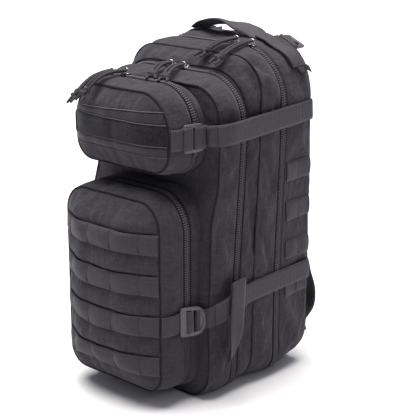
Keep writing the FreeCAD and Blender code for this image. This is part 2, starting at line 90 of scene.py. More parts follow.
BACK_EDGE = dict(half=108, low=6, top=418, r_top=66, r_low=44, y=122, lean=0)

SAG = 8.5                  # how far the full pack carries its side seams forward, low down
STEP = 4.5                 # side of a fabric mesh's quads
TAPE = 6.2                 # width of each half of a zip
TAPE_SINK = -0.5           # how far a zip lies under the fabric's folded edge
TEETH_GAP = 0.25           # between a tape's edge and the line its zip closes on
TOOTH_PITCH = 2.9          # along the zip
TOOTH_R = 0.82
TOOTH_RISE = 0.85          # how far a tooth's middle line lies above its tape
PIPING_R = 0.9
WEBBING = 25.0
WEBBING_THICK = 1.7
LOWER_ROWS = (208, 158, 108, 58)
SIDE_ROWS = (264, 214, 164, 114)
TACKS = (-57, -19, 19, 57)  # where the rows on the lower pocket are tacked down
CROWN = {"lower": 21.0, "upper": 13.0}     # how far the pockets' faces stand out
CORD_D = 4.0
STRAND_OFFSET = 2.7        # each of a pull's two strands lies that far off its middle line

# ---- camera, light and stage ----
VIEW_AZIMUTH, VIEW_ELEVATION = math.radians(42.5), math.radians(16.6)
VIEW_DISTANCE, VIEW_LENS = 1.5, 104.3
VIEW_RIGHT, VIEW_HIGH = 0.037, 0.213     # the point looked at, in metres
FLOOR_SIZE = 60


def camera():
    """A long lens from the front and the pack's right side."""
    data = bpy.data.cameras.new("view")
    data.lens = VIEW_LENS
    data.sensor_width = 36
    eye = bpy.data.objects.new("view", data)
    bpy.context.scene.collection.objects.link(eye)
    right = Vector((math.cos(VIEW_AZIMUTH), math.sin(VIEW_AZIMUTH), 0))
    away = Vector((math.sin(VIEW_AZIMUTH) * math.cos(VIEW_ELEVATION),
                   -math.cos(VIEW_AZIMUTH) * math.cos(VIEW_ELEVATION), math.sin(VIEW_ELEVATION)))
    target = right * VIEW_RIGHT + Vector((0, 0, VIEW_HIGH))
    eye.location = target + away * VIEW_DISTANCE
    eye.rotation_euler = away.to_track_quat("Z", "Y").to_euler()
    bpy.context.scene.camera = eye


def lamp(name, kind, place, back, **settings):
    """A light at a place; back is the way from what it shines on to the light."""
    data = bpy.data.lights.new(name, kind)
    for key, value in settings.items():
        setattr(data, key, value)
    made = bpy.data.objects.new(name, data)
    bpy.context.scene.collection.objects.link(made)
    made.location = place
    made.rotation_euler = Vector(back).to_track_quat("Z", "Y").to_euler()


def studio():
    """Overcast light, a plain white backdrop and a pale floor."""
    scene = bpy.context.scene
    scene.view_settings.view_transform = "Standard"
    world = bpy.data.worlds.new("studio")
    scene.world = world
    world.use_nodes = True
    tree = world.node_tree
    glow = tree.nodes["Background"]
    glow.inputs["Color"].default_value = (0.82, 0.82, 1.0, 1)
    glow.inputs["Strength"].default_value = 0.36
    backdrop = tree.nodes.new("ShaderNodeBackground")
    backdrop.inputs["Color"].default_value = (1, 1, 1, 1)
    seen = tree.nodes.new("ShaderNodeLightPath")
    mixed = tree.nodes.new("ShaderNodeMixShader")
    tree.links.new(seen.outputs["Is Camera Ray"], mixed.inputs[0])
    tree.links.new(glow.outputs[0], mixed.inputs[1])
    tree.links.new(backdrop.outputs[0], mixed.inputs[2])
    tree.links.new(mixed.outputs[0], tree.nodes["World Output"].inputs["Surface"])
    lamp("key", "AREA", (1.5, -0.3, 1.2), (1.5, -0.3, 0.95), shape="DISK", size=0.6, energy=3)
    lamp("overhead", "SUN", (0, 0, 0), (-0.11, 0.01, 1), energy=7.6, color=(1.0, 0.975, 0.95),
         angle=math.radians(52))
    bpy.ops.mesh.primitive_grid_add(x_subdivisions=4, y_subdivisions=4, size=FLOOR_SIZE)
    floor = bpy.context.object
    floor.name = "floor"
    floor.data.materials.append(plain_material("floor_paper", (0.66, 0.66, 0.66), 0.9))


# ---- materials ----
class Shader:
    """A node material with one principled shader."""

    def __init__(self, name, roughness, **fixed):
        self.material = bpy.data.materials.new(name)
        self.material.use_nodes = True
        self.tree = self.material.node_tree
        self.principled = self.tree.nodes["Principled BSDF"]
        self.principled.inputs["Roughness"].default_value = roughness
        for socket, value in fixed.items():
            self.principled.inputs[socket.replace("_", " ")].default_value = value

    def node(self, kind, **settings):
        made = self.tree.nodes.new("ShaderNode" + kind)
        for key, value in settings.items():
            setattr(made, key, value)
        return made

    def link(self, out, to):
        self.tree.links.new(out, to)

    def coordinates(self, source, scale):
        """Texture coordinates in metres; source is UV or Object, scale one number or one for each axis."""
        place = self.node("TexCoord")
        mapping = self.node("Mapping")
        mapping.inputs["Scale"].default_value = scale if isinstance(scale, tuple) else (scale,) * 3
        self.link(place.outputs[source], mapping.inputs["Vector"])
        return mapping.outputs["Vector"]

    def noise(self, source, scale, detail=3.0, roughness=0.5):
        texture = self.node("TexNoise")
        texture.inputs["Scale"].default_value = 1.0
        texture.inputs["Detail"].default_value = detail
        texture.inputs["Roughness"].default_value = roughness
        self.link(self.coordinates(source, scale), texture.inputs["Vector"])
        return texture.outputs["Fac"]

    def wave(self, source, period, direction):
        """Sine bands of that period in metres."""
        texture = self.node("TexWave", wave_type="BANDS", bands_direction=direction)
        texture.inputs["Scale"].default_value = 1.0
        turn = 2 * math.pi / 20
        self.link(self.coordinates(source, turn / period), texture.inputs["Vector"])
        return texture.outputs["Fac"]

    def maths(self, operation, a, b):
        made = self.node("Math", operation=operation)
        for socket, value in zip(made.inputs, (a, b)):
            if isinstance(value, (int, float)):
                socket.default_value = value
            else:
                self.link(value, socket)
        return made.outputs[0]

    def ramp(self, fac, low, high, start=0.3, end=0.7):
        """A ramp from one colour to another."""
        made = self.node("ValToRGB")
        made.color_ramp.elements[0].position = start
        made.color_ramp.elements[1].position = end
        made.color_ramp.elements[0].color = (*low, 1)
        made.color_ramp.elements[1].color = (*high, 1)
        self.link(fac, made.inputs["Fac"])
        return made.outputs["Color"]

    def shade(self, fac, low, high, start=0.35, end=0.65):
        """A ramp from one grey to another."""
        return self.ramp(fac, (low,) * 3, (high,) * 3, start, end)

    def multiply(self, product, *others):
        """Several colours multiplied together."""
        for other in others:
            made = self.node("Mix", data_type="RGBA", blend_type="MULTIPLY")
            made.inputs["Factor"].default_value = 1.0
            self.link(product, made.inputs[6])
            self.link(other, made.inputs[7])
            product = made.outputs[2]
        return product

    def colour(self, out):
        self.link(out, self.principled.inputs["Base Color"])

    def rough(self, fac, low, high):
        spread = self.node("MapRange")
        spread.inputs["To Min"].default_value = low
        spread.inputs["To Max"].default_value = high
        self.link(fac, spread.inputs["Value"])
        self.link(spread.outputs["Result"], self.principled.inputs["Roughness"])

    def bump(self, *heights):
        """Bumps as (height, distance in metres, strength), one over the other."""
        last = None
        for height, distance, strength in heights:
            made = self.node("Bump")
            made.inputs["Distance"].default_value = distance
            made.inputs["Strength"].default_value = strength
            self.link(height, made.inputs["Height"])
            if last:
                self.link(last, made.inputs["Normal"])
            last = made.outputs["Normal"]
        self.link(last, self.principled.inputs["Normal"])


def plain_material(name, colour, roughness):
    shader = Shader(name, roughness)
    shader.colour(shader.ramp(shader.noise("Object", 30), colour, [c * 0.99 for c in colour]))
    return shader.material


def grey(value, warm=1.0):
    """A charcoal with the cast of dyed nylon: red and blue a little over green."""
    return (value * 1.02 * warm, value * 0.9, value * 1.16 / warm)


def fabric(name, value, source="UV", weave=1.1, glow=0.07):
    """Coated nylon: plain weave, long thread streaks both ways, uneven dye, and crumpled all over."""
    shader = Shader(name, 0.8, Sheen_Weight=glow, Sheen_Roughness=0.5, Specular_IOR_Level=0.3)
    dye = shader.noise("Object", 16, 3, 0.6)
    broad = shader.ramp(dye, grey(value * 0.84, 0.97), grey(value * 1.16, 1.03))
    upright = shader.shade(shader.noise(source, (620, 45, 200), 2), 0.7, 1.0, 0.38, 0.62)
    level = shader.shade(shader.noise(source, (45, 620, 200), 2), 0.78, 1.0, 0.38, 0.62)
    mottle = shader.shade(shader.noise("Object", 260, 3), 0.76, 1.08)
    shader.colour(shader.multiply(broad, upright, level, mottle))
    warp = shader.wave(source, weave * MM, "X")
    weft = shader.wave(source, weave * MM, "Y")
    folds = shader.noise("Object", (52, 52, 34), 3, 0.55)
    creased = shader.maths("ABSOLUTE", shader.maths("SUBTRACT", folds, 0.5), 0)
    shader.bump((shader.maths("MULTIPLY", warp, weft), 0.25 * MM, 0.5),
                (shader.noise("Object", 130, 4, 0.6), 1.6 * MM, 0.5), (creased, 8 * MM, 0.55))
    shader.rough(mottle, 0.72, 0.88)
    return shader.material


def webbing(name, value):
    """Heavy woven tape: ribs across its length and finer lanes along it."""
    shader = Shader(name, 0.7, Sheen_Weight=0.06, Specular_IOR_Level=0.35)
    broad = shader.ramp(shader.noise("Object", 22, 2), grey(value * 0.9, 0.98), grey(value * 1.1, 1.0))
    ribs = shader.wave("UV", 2.9 * MM, "Y")
    lanes = shader.wave("UV", 3.6 * MM, "X")
    mottle = shader.shade(shader.noise("Object", 240, 3), 0.8, 1.06)
    shader.colour(shader.multiply(broad, shader.shade(ribs, 0.76, 1.04, 0.1, 0.9),
                                  shader.shade(lanes, 0.88, 1.0, 0.3, 0.7), mottle))
    shader.bump((ribs, 0.3 * MM, 0.5), (lanes, 0.2 * MM, 0.3), (shader.noise("Object", 700), 0.2 * MM, 0.4))
    return shader.material


def pile(name, value):
    """Loop pile: a dense dull nap with light flecks."""
    shader = Shader(name, 0.95, Sheen_Weight=0.1, Specular_IOR_Level=0.15)
    flecks = shader.noise("Object", 380, 5, 0.85)
    shader.colour(shader.ramp(flecks, grey(value * 0.2), grey(value * 2.9), 0.38, 0.7))
    shader.bump((flecks, 0.9 * MM, 0.9))
    return shader.material


def tape(name, value):
    """Zip tape: a fine twill."""
    shader = Shader(name, 0.8, Specular_IOR_Level=0.2)
    twill = shader.wave("UV", 1.2 * MM, "DIAGONAL")
    shader.colour(shader.ramp(twill, grey(value * 0.8), grey(value * 1.15)))
    shader.bump((twill, 0.2 * MM, 0.4))
    return shader.material


def plastic(name, value, roughness=0.42):
    """Moulded acetal: faint spark-eroded grain, scuffs."""
    shader = Shader(name, roughness, Specular_IOR_Level=0.5)
    scuffs = shader.noise("Object", 160, 5, 0.7)
    shader.colour(shader.ramp(scuffs, grey(value * 0.9, 0.99), grey(value * 1.12, 0.99)))
    shader.rough(scuffs, roughness - 0.08, roughness + 0.14)
    shader.bump((shader.noise("Object", 1800, 2), 0.1 * MM, 0.35))
    return shader.material


def metal(name, value):
    """Cast zip metal, polished by use on its high spots."""
    shader = Shader(name, 0.25, Metallic=1.0)
    wear = shader.noise("Object", 350, 4)
    shader.colour(shader.shade(wear, value * 0.6, value, 0.3, 0.7))
    shader.rough(wear, 0.16, 0.4)
    shader.bump((wear, 0.15 * MM, 0.3))
    return shader.material


def braid(name, value):
    """Braided cord: crossing strands round the core."""
    shader = Shader(name, 0.72, Sheen_Weight=0.06, Specular_IOR_Level=0.3)
    strands = shader.wave("Object", 1.5 * MM, "DIAGONAL")
    flecks = shader.noise("Object", 900, 2)
    weave = shader.maths("MULTIPLY", strands, flecks)
    shader.colour(shader.ramp(weave, grey(value * 0.55), grey(value * 1.5), 0.1, 0.6))
    shader.bump((strands, 0.4 * MM, 0.7), (flecks, 0.3 * MM, 0.5))
    return shader.material


def spacer(name, value):
    """Air mesh: small open cells in rows, each cell's middle darkened as painted shade in its hole."""
    shader = Shader(name, 0.85, Sheen_Weight=0.2, Specular_IOR_Level=0.25)
    cells = shader.node("TexVoronoi", feature="F1")
    cells.inputs["Scale"].default_value = 1.0
    cells.inputs["Randomness"].default_value = 0.15
    shader.link(shader.coordinates("Object", 380), cells.inputs["Vector"])
    # Painted shade: the colour darkens towards each cell's middle, where the mesh's holes lie.
    shader.colour(shader.ramp(cells.outputs["Distance"], grey(value * 0.35), grey(value * 1.2), 0.15, 0.45))
    shader.bump((cells.outputs["Distance"], 0.8 * MM, 0.8))
    return shader.material


PACK = fabric("pack_nylon", 0.0305)
PACK_OBJECT = fabric("pack_nylon_inner", 0.042, "Object")
TRIM = webbing("trim_webbing", 0.0258)
STRAP = webbing("strap_webbing", 0.0285)
# Near-black: the piping's own colour, and also painted shadow where the zips' folded edges and the handle
# ends' edges use it.
PIPING_AND_SHADOW = fabric("piping_and_painted_shadow", 0.004, glow=0.0)
TAPE_CLOTH = tape("zip_tape", 0.010)
TEETH = plastic("zip_coil", 0.066)
PILE = pile("loop_pile", 0.0085)
BUCKLE = plastic("buckle_acetal", 0.05)
METAL = metal("slider_metal", 0.42)
CORD = braid("pull_cord", 0.027)
THREAD = plastic("sewing_thread", 0.014, 0.7)
THREAD_LIGHT = plastic("handle_thread", 0.075, 0.65)
PILE_EDGE = webbing("field_border", 0.016)
EDGE_THREAD = plastic("field_edge_thread", 0.048, 0.65)
MESH = spacer("air_mesh", 0.05)
LINING = fabric("lining_cloth", 0.09, "Object", 0.6)
BOARD = plastic("frame_board", 0.05, 0.5)


# ---- mesh building ----
class Geometry:
    """Vertices in millimetres and faces, with texture coordinates in metres along and across."""

    def __init__(self):
        self.vertices = []
        self.faces = []
        self.uvs = []

    def grid(self, rows, closed=False, ends=False, flip=False):
        """Quads between rows of points. A closed row joins its last point to its first; ends are capped."""
        first = len(self.vertices)
        count = len(rows[0])
        for row in rows:
            self.vertices.extend(row)
        rows = [[Vector(p) for p in row] for row in rows]
        middle = rows[len(rows) // 2]
        along = [0.0]
        for i in range(count):
            along.append(along[-1] + (middle[(i + 1) % count] - middle[i]).length)
        across = [0.0]
        for one, other in zip(rows, rows[1:]):
            across.append(across[-1] + (other[count // 2] - one[count // 2]).length)
        for r in range(len(rows) - 1):
            for i in range(count if closed else count - 1):
                j = (i + 1) % count
                corners = [(r, i, i), (r, j, i + 1), (r + 1, j, i + 1), (r + 1, i, i)]
                if flip:
                    corners.reverse()
                self.faces.append([first + row * count + k for row, k, _ in corners])
                self.uvs.append([(along[u] * MM, across[row] * MM) for row, _, u in corners])
        if ends:
            for r, turn in ((0, not flip), (len(rows) - 1, flip)):
                start = len(self.vertices)
                self.vertices.extend(rows[r])
                cap = [start + i for i in range(count)]
                if turn:
                    cap.reverse()
                self.faces.append(cap)
                self.uvs.append([(0.0, 0.0)] * count)
        return self

    def tube(self, points, radius, sides=8, closed=False, squash=1.0):
        """Round (or flattened) section carried along points."""
        points = [Vector(p) for p in points]
        count = len(points)
        normal = None
        rings = []
        for i, point in enumerate(points):
            before = points[i - 1] if closed or i else point
            after = points[(i + 1) % count] if closed or i < count - 1 else point
            way = (after - before).normalized()
            if normal is None:
                normal = way.orthogonal().normalized()
            normal = (normal - way * normal.dot(way)).normalized()
            side = way.cross(normal)
            size = radius(i / (count - 1)) if callable(radius) else radius
            rings.append([point + normal * (size * squash * math.cos(a)) + side * (size * math.sin(a))
                          for a in (2 * math.pi * k / sides for k in range(sides))])
        if closed:
            rings.append(rings[0])
        return self.grid(rings, closed=True, ends=not closed, flip=True)

    def strip(self, points, across, width=WEBBING, thick=WEBBING_THICK, cells=8, lift=None):
        """Flat webbing along points: across is the way over its width at each point, lift an extra height."""
        points = [Vector(p) for p in points]
        acrosses = across if isinstance(across, list) else [Vector(across)] * len(points)
        rows = []
        for i, point in enumerate(points):
            way = (points[min(i + 1, len(points) - 1)] - points[max(i - 1, 0)]).normalized()
            over = acrosses[i].normalized()
            up = way.cross(over).normalized()
            top, bottom = [], []
            for c in range(cells + 1):
                share = c / cells - 0.5
                rise = lift(i, share) if lift else 0.0
                thin = 0.5 if c in (0, cells) else 1.0
                middle = point + over * (share * width) + up * rise
                top.append(middle + up * (thick / 2 * thin))
                bottom.append(middle - up * (thick / 2 * thin))
            rows.append(top + bottom[::-1])
        return self.grid(rows, closed=True, ends=True)

    def block(self, centre, along, up, size):
        """A small moulded lug of three levels."""
        over = up.cross(along).normalized()
        length, width, height = (s / 2 for s in size)
        first = len(self.vertices)
        for level in (-height, height * 0.4, height):
            for a, b in ((-1, -1), (1, -1), (1, 1), (-1, 1)):
                self.vertices.append(centre + along * (a * length) + over * (b * width) + up * level)
        quads = [(3, 2, 1, 0), (8, 9, 10, 11)]
        for level in (0, 4):
            for k in range(4):
                n = (k + 1) % 4
                quads.append((level + k, level + n, level + 4 + n, level + 4 + k))
        for quad in quads:
            self.faces.append([first + k for k in quad])
            self.uvs.append([(0.0, 0.0)] * 4)
        return self

    def take(self, piece, place):
        """Copies an object's evaluated mesh, put through place, and removes the object."""
        bpy.context.view_layer.update()
        mesh = bpy.data.meshes.new_from_object(piece.evaluated_get(bpy.context.evaluated_depsgraph_get()))
        first = len(self.vertices)
        self.vertices.extend([place @ v.co for v in mesh.vertices])
        for face in mesh.polygons:
            self.faces.append([first + k for k in face.vertices])
            self.uvs.append([(mesh.vertices[k].co.x * MM, mesh.vertices[k].co.y * MM) for k in face.vertices])
        bpy.data.objects.remove(piece)
        return self

    def mirror(self):
        """Adds the same geometry on the other side."""
        count = len(self.vertices)
        self.vertices.extend([Vector((-v[0], v[1], v[2])) for v in self.vertices])
        for face, uv in list(zip(self.faces, self.uvs)):
            self.faces.append([count + k for k in reversed(face)])
            self.uvs.append(list(reversed(uv)))
        return self

    def object(self, name, material):
        """The finished mesh in metres; faces of many sides, such as caps, are shaded flat."""
        mesh = bpy.data.meshes.new(name)
        mesh.from_pydata([tuple(Vector(v) * MM) for v in self.vertices], [], self.faces)
        layer = mesh.uv_layers.new(name="UVMap")
        layer.data.foreach_set("uv", [c for face in self.uvs for uv in face for c in uv])
        mesh.materials.append(material)
        mesh.polygons.foreach_set("use_smooth", [len(face) <= 4 for face in self.faces])
        mesh.update()
        made = bpy.data.objects.new(name, mesh)
        bpy.context.scene.collection.objects.link(made)
        return made

    def piece(self, name, material, body, slot, *nodes):
        """The finished object, on its body."""
        return dress(self.object(name, material), body, slot, *nodes)


def dress(piece, body, slot, *nodes):
    """Puts a finished piece on its body, in place of the frame's nodes."""
    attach(piece, body)
    if nodes:
        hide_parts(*nodes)
    return piece


def stretch(piece, body_a, body_b, start, end, *nodes):
    """Webbing baked in place, in place of the frame's nodes; it is put on no body and does not bend."""
    if nodes:
        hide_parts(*nodes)
    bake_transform(piece)


def modify(piece, kind, **settings):
    """Adds a modifier."""
    modifier = piece.modifiers.new(kind.lower(), kind)
    for key, value in settings.items():
        setattr(modifier, key, value)


def apply_modifiers(piece):
    """Makes the evaluated mesh the piece's own."""
    bpy.context.view_layer.update()
    evaluated = piece.evaluated_get(bpy.context.evaluated_depsgraph_get())
    mesh = bpy.data.meshes.new_from_object(evaluated)
    old = piece.data
    piece.modifiers.clear()
    piece.data = mesh
    bpy.data.meshes.remove(old)


# ---- outlines ----
def offset(o, by):
    """The outline that runs that far outside another."""
    return dict(o, half=o["half"] + by, low=o["low"] - by, top=o["top"] + by,
                r_top=max(o["r_top"] + by, 3), r_low=max(o["r_low"] + by, 3))


def between(a, b, share):
    """The outline that lies that share of the way from a to b."""
    return {key: a[key] + (b[key] - a[key]) * share for key in a}


def counts(a, b, step=STEP):
    """How many points each stretch of two matching outlines gets."""
    o = between(a, b, 0.5)
    lengths = (o["half"] - o["r_low"], math.pi / 2 * o["r_low"],
               o["top"] - o["low"] - o["r_top"] - o["r_low"],
               math.pi / 2 * o["r_top"], 2 * (o["half"] - o["r_top"]))
    return [max(2, round(length / step)) for length in lengths]


def depth_at(o, z):
    """How far back a seam lies at a height: the full lower half carries the side seams forward."""
    y = o["y"] + o["lean"] * z
    return y - SAG * (1 - smooth_step(z, 110, 350)) * smooth_step(y, -50, -15) * (1 - smooth_step(y, 76, 112))


def ring(o, n):
    """Points round an outline from the middle of its bottom, towards +X first, and their outward ways."""
    points, ways = [], []

    def line(x0, z0, x1, z1, number, way):
        for i in range(number):
            t = i / number
            points.append((x0 + (x1 - x0) * t, z0 + (z1 - z0) * t))
            ways.append(way)

    def arc(x, z, r, start, number):
        for i in range(number):
            a = math.radians(start + 90 * i / number)
            points.append((x + r * math.cos(a), z + r * math.sin(a)))
            ways.append((math.cos(a), math.sin(a)))

    half, low, top, r_top, r_low = (o[k] for k in ("half", "low", "top", "r_top", "r_low"))
    line(0, low, half - r_low, low, n[0], (0, -1))
    arc(half - r_low, low + r_low, r_low, -90, n[1])
    line(half, low + r_low, half, top - r_top, n[2], (1, 0))
    arc(half - r_top, top - r_top, r_top, 0, n[3])
    line(half - r_top, top, r_top - half, top, n[4], (0, 1))
    arc(r_top - half, top - r_top, r_top, 90, n[3])
    line(-half, top - r_top, -half, low + r_low, n[2], (-1, 0))
    arc(r_low - half, low + r_low, r_low, 180, n[1])
    line(r_low - half, low, 0, low, n[0], (0, -1))
    plane = [Vector((x, depth_at(o, z), z)) for x, z in points]
    return plane, [Vector((x, 0, z)) for x, z in ways]


def smooth_step(x, start, end):
    """Rises from 0 at start to 1 at end, level at both."""
    t = min(max((x - start) / (end - start), 0.0), 1.0)
    return t * t * (3 - 2 * t)


def band_rows(a, b, rows, puff, bend):
    """Rings from outline a to outline b, puffed outwards between them."""
    n = counts(a, b)
    front, ways = ring(a, n)
    rear, _ = ring(b, n)
    made = []
    for r in range(rows + 1):
        t = r / rows
        out = puff * math.sin(math.pi * t) ** 1.1
        row = []
        for p, q, way in zip(front, rear, ways):
            swell = out * (0.15 if way.z < -0.7 else 1.0)
            row.append(p.lerp(q, t) + way * swell)
        made.append([bend(p) if bend else p for p in row])
    return made


def middle_bend(p):
    """The middle front stands further forward below the upper pocket than beside it."""
    wanted = -50 - 5 * (1 - smooth_step(p.z, 80, 230)) + 14 * smooth_step(p.z, 215, 278)
    flat = MIDDLE_EDGE["y"] + MIDDLE_EDGE["lean"] * p.z
    reach = 1 - smooth_step(p.y, -46, -8)
    return p + Vector((0, (wanted - flat) * reach, 0))


# ---- cloth ----
CLOTH = {"quality": 6, "mass": 0.3, "tension_stiffness": 12.0, "compression_stiffness": 12.0,
         "shear_stiffness": 6.0, "bending_stiffness": 0.3, "use_pressure": True, "vertex_group_mass": "sewn"}
CLOTH_STEPS = 20
FABRIC_THICK = 1.2
FLOOR_GAP = 0.0002         # the lowest that cloth may hang, in metres
SIMULATED = []             # what waits for the cloth run: piece, cap in millimetres, pressure and growth


def soft(piece, pinned, cap, pressure, grow):
    """Queues a fabric piece: pinned tells which vertices are sewn down, cap is how far the others may go."""
    group = piece.vertex_groups.new(name="sewn")
    group.add([v.index for v in piece.data.vertices if pinned(v.index)], 1.0, "REPLACE")
    SIMULATED.append((piece, cap, pressure, grow))


def inflate(piece, pressure, grow):
    """Gives a piece its cloth, ahead of what shapes it later."""
    for later in piece.modifiers:
        later.show_viewport = False
    cloth = piece.modifiers.new("cloth", "CLOTH")
    piece.modifiers.move(len(piece.modifiers) - 1, 0)
    for key, value in CLOTH.items():
        setattr(cloth.settings, key, value)
    cloth.settings.uniform_pressure_force = pressure
    cloth.settings.shrink_min = -grow
    cloth.settings.effector_weights.gravity = 0
    cloth.collision_settings.use_collision = False
    cloth.point_cache.frame_start = 1
    cloth.point_cache.frame_end = CLOTH_STEPS


def swollen(piece, cap, depsgraph):
    """Where the cloth has gone, eased off towards its cap, as one row of coordinates in metres."""
    moved = np.empty(len(piece.data.vertices) * 3)
    piece.evaluated_get(depsgraph).data.vertices.foreach_get("co", moved)
    rest = np.empty_like(moved)
    piece.data.vertices.foreach_get("co", rest)
    shift = (moved - rest).reshape(-1, 3)
    length = np.linalg.norm(shift, axis=1)
    limit = cap * MM
    factor = np.where(length > 1e-9, limit * np.tanh(length / limit) / np.maximum(length, 1e-9), 0)
    final = rest + (shift * factor[:, None]).ravel()
    final[2::3] = np.maximum(final[2::3], FLOOR_GAP)
    return final


def run_cloth():
    """Inflates every queued piece at once and keeps the result."""
    for piece, _, pressure, grow in SIMULATED:
        inflate(piece, pressure, grow)
    scene = bpy.context.scene
    for step in range(1, CLOTH_STEPS + 1):
        scene.frame_set(step)
    depsgraph = bpy.context.evaluated_depsgraph_get()
    results = [swollen(piece, cap, depsgraph) for piece, cap, *_ in SIMULATED]
    for (piece, *_), final in zip(SIMULATED, results):
        piece.modifiers.remove(piece.modifiers["cloth"])
        for later in piece.modifiers:
            later.show_viewport = True
        piece.vertex_groups.clear()
        piece.data.vertices.foreach_set("co", final)
        piece.data.update()
    scene.frame_set(1)


def finish_cloth(piece):
    modify(piece, "SUBSURF", levels=1, render_levels=1)
    modify(piece, "SOLIDIFY", thickness=FABRIC_THICK * MM, offset=-1.0)


def dent(p, centre, reach, depth, way):
    """Pushes a point in where it is near a dent's centre."""
    near = math.exp(-((p - Vector(centre)).length / reach) ** 2)
    return p + Vector(way) * (depth * near)


def crease(p, start, end, width, depth, way):
    """Pushes a point in along a fold line."""
    start, end = Vector(start), Vector(end)
    run = end - start
    share = min(max((p - start).dot(run) / run.length_squared, 0), 1)
    near = (p - (start + run * share)).length / width
    return p + Vector(way) * (depth * math.exp(-near * near))


# ---- shells ----
def cover(name, a, b, rows, puff, body, node, cap, bend=None, shape=None, grow=0.022):
    """One gusset of fabric, sewn along both its edges."""
    grid = band_rows(a, b, rows, puff, bend)
    if shape:
        grid = [[shape(p) for p in row] for row in grid]
    ways = ring(a, counts(a, b))[1]
    for r, row in enumerate(grid[1:-1], 1):
        hold = min(r, rows - r, 2) / 2 * (0.5 if rows < 5 else 1.0)
        grid[r] = [p + way * (slack(p) * hold) if way.z > -0.7 else p for p, way in zip(row, ways)]
    number = len(grid[0])
    piece = Geometry().grid(grid, closed=True).object(name, PACK)
    last = number * rows
    soft(piece, lambda k: k < number or k >= last, cap, pressure=3.0, grow=grow)
    finish_cloth(piece)
    dress(piece, body, "pack_fabric", node)


def share_for(a, b, distance):
    """The share of the way from a to b that is that far behind a, halfway up."""
    height = (b["low"] + b["top"]) / 2
    span = (b["y"] + b["lean"] * height) - (a["y"] + a["lean"] * height)
    return distance / span


def before_zip(edge, zipped):
    """Where the fabric in front of a zip ends and its tape begins."""
    return between(edge, zipped, 1 - share_for(edge, zipped, TAPE))


def behind_zip(zipped, seam):
    """Where a zip's rear tape ends and the fabric behind it begins."""
    return between(zipped, seam, share_for(zipped, seam, TAPE))


# Slack on the right side, the left's mirror image. Each fold: start, end, width, depth and the way in.
# Each hollow: centre, reach, depth and the way in. The side strap pulls the shoulders in.
MAIN_SLACK = ((((90, 36, 404), (110, 56, 345), 5, 4.5, (-0.8, 0, -0.6)),
               ((78, 34, 410), (108, 38, 366), 5, 3.5, (-0.7, 0, -0.7)),
               ((110, 34, 300), (110, 50, 250), 6, 2.2, (-1, 0, 0)),
               ((110, 46, 150), (110, 26, 205), 6, 2.2, (-1, 0, 0))),
              ((110, 40, 332), 20, 3.0, (-1, 0, 0)))
TRAY_SLACK = ((((66, 12, 400), (104, 6, 346), 7, 4.5, (-0.7, 0, -0.7)),
               ((92, 24, 396), (108, 22, 370), 4, 4.0, (-0.7, 0, -0.7)),
               ((106, 8, 300), (106, 20, 180), 6, 2.5, (-1, 0, 0))),
              ((106, 12, 335), 20, 4.5, (-1, 0, 0)))
FRONT_SLACK = ((((76, -34, 380), (101, -18, 340), 5, 4.0, (-0.7, 0, -0.7)),
                ((96, -38, 366), (103, -22, 300), 5, 3.0, (-0.9, 0, -0.3)),
                ((102, -44, 100), (102, -24, 40), 6, 2.5, (-1, 0, 0))),
               ((103, -30, 330), 18, 3.5, (-1, 0, 0)))


def slackened(p, folds, hollow):
    """Pushes a gusset's point in along its folds and in its hollow."""
    right = 1 if p.x > 0 else -1

    def on_side(v):
        return right * v[0], v[1], v[2]

    for start, end, width, depth, way in folds:
        p = crease(p, on_side(start), on_side(end), width, depth, on_side(way))
    centre, reach, depth, way = hollow
    return dent(p, on_side(centre), reach, depth, on_side(way))


def shells():
    """The gussets and trays, from the front pockets back."""
    for name, edge, zipped, seam, rows in (("lower", LOWER_EDGE, LOWER_ZIP, LOWER_SEAM, 7),
                                           ("upper", UPPER_EDGE, UPPER_ZIP, UPPER_SEAM, 6)):
        cover(name + "_pocket_gusset_cover", edge, before_zip(edge, zipped), rows, 1.6, name + "_lid",
              name + "_pocket_gusset", 2.6)
        cover(name + "_pocket_tray_cover", behind_zip(zipped, seam), seam, 3, 0.8, "middle_front",
              name + "_pocket_tray", 2.0)
    cover("middle_front_cover", MIDDLE_EDGE, before_zip(MIDDLE_EDGE, MIDDLE_ZIP), 8, 1.8, "middle_front",
          "middle_front_gusset", 3.0, middle_bend, lambda p: slackened(p, *FRONT_SLACK))
    cover("middle_tray_cover", behind_zip(MIDDLE_ZIP, MIDDLE_SEAM), MIDDLE_SEAM, 6, 0.6, "main_front",
          "middle_tray", 2.6, shape=lambda p: slackened(p, *TRAY_SLACK))
    cover("main_front_cover", MAIN_EDGE, before_zip(MAIN_EDGE, MAIN_ZIP), 8, 1.6, "main_front",
          "main_front_gusset", 3.0, shape=lambda p: slackened(p, *MAIN_SLACK))
    cover("rear_cover", behind_zip(MAIN_ZIP, BACK_EDGE), BACK_EDGE, 10, 2.0, "pack", "rear_gusset", 3.5,
          grow=0.015)


# ---- panels ----
def flat_panel(o):
    """Triangles that fill an outline: points in its plane, and faces."""
    rim, _ = ring(o, counts(o, o))
    points = [Vector((p.x, p.z)) for p in rim]
    edges = [(i, (i + 1) % len(rim)) for i in range(len(rim))]
    inner = offset(o, -STEP * 0.7)
    lane_high = STEP * 0.87            # the height of a triangle whose sides are STEP
    lanes = int((inner["top"] - inner["low"]) / lane_high) + 1
    for lane in range(lanes + 1):
        z = inner["low"] + lane * lane_high
        x = -inner["half"] + (STEP / 2 if lane % 2 else 0)
        while x <= inner["half"]:
            if inside(inner, x, z):
                points.append(Vector((x, z)))
            x += STEP
    made = delaunay_2d_cdt(points, edges, [], 1, 0.001)
    return made[0], made[2]


def corners_of(o):
    """An outline's upper and lower corner circles: radius, height of centre and which way is outwards."""
    return (o["r_top"], o["top"] - o["r_top"], 1), (o["r_low"], o["low"] + o["r_low"], -1)


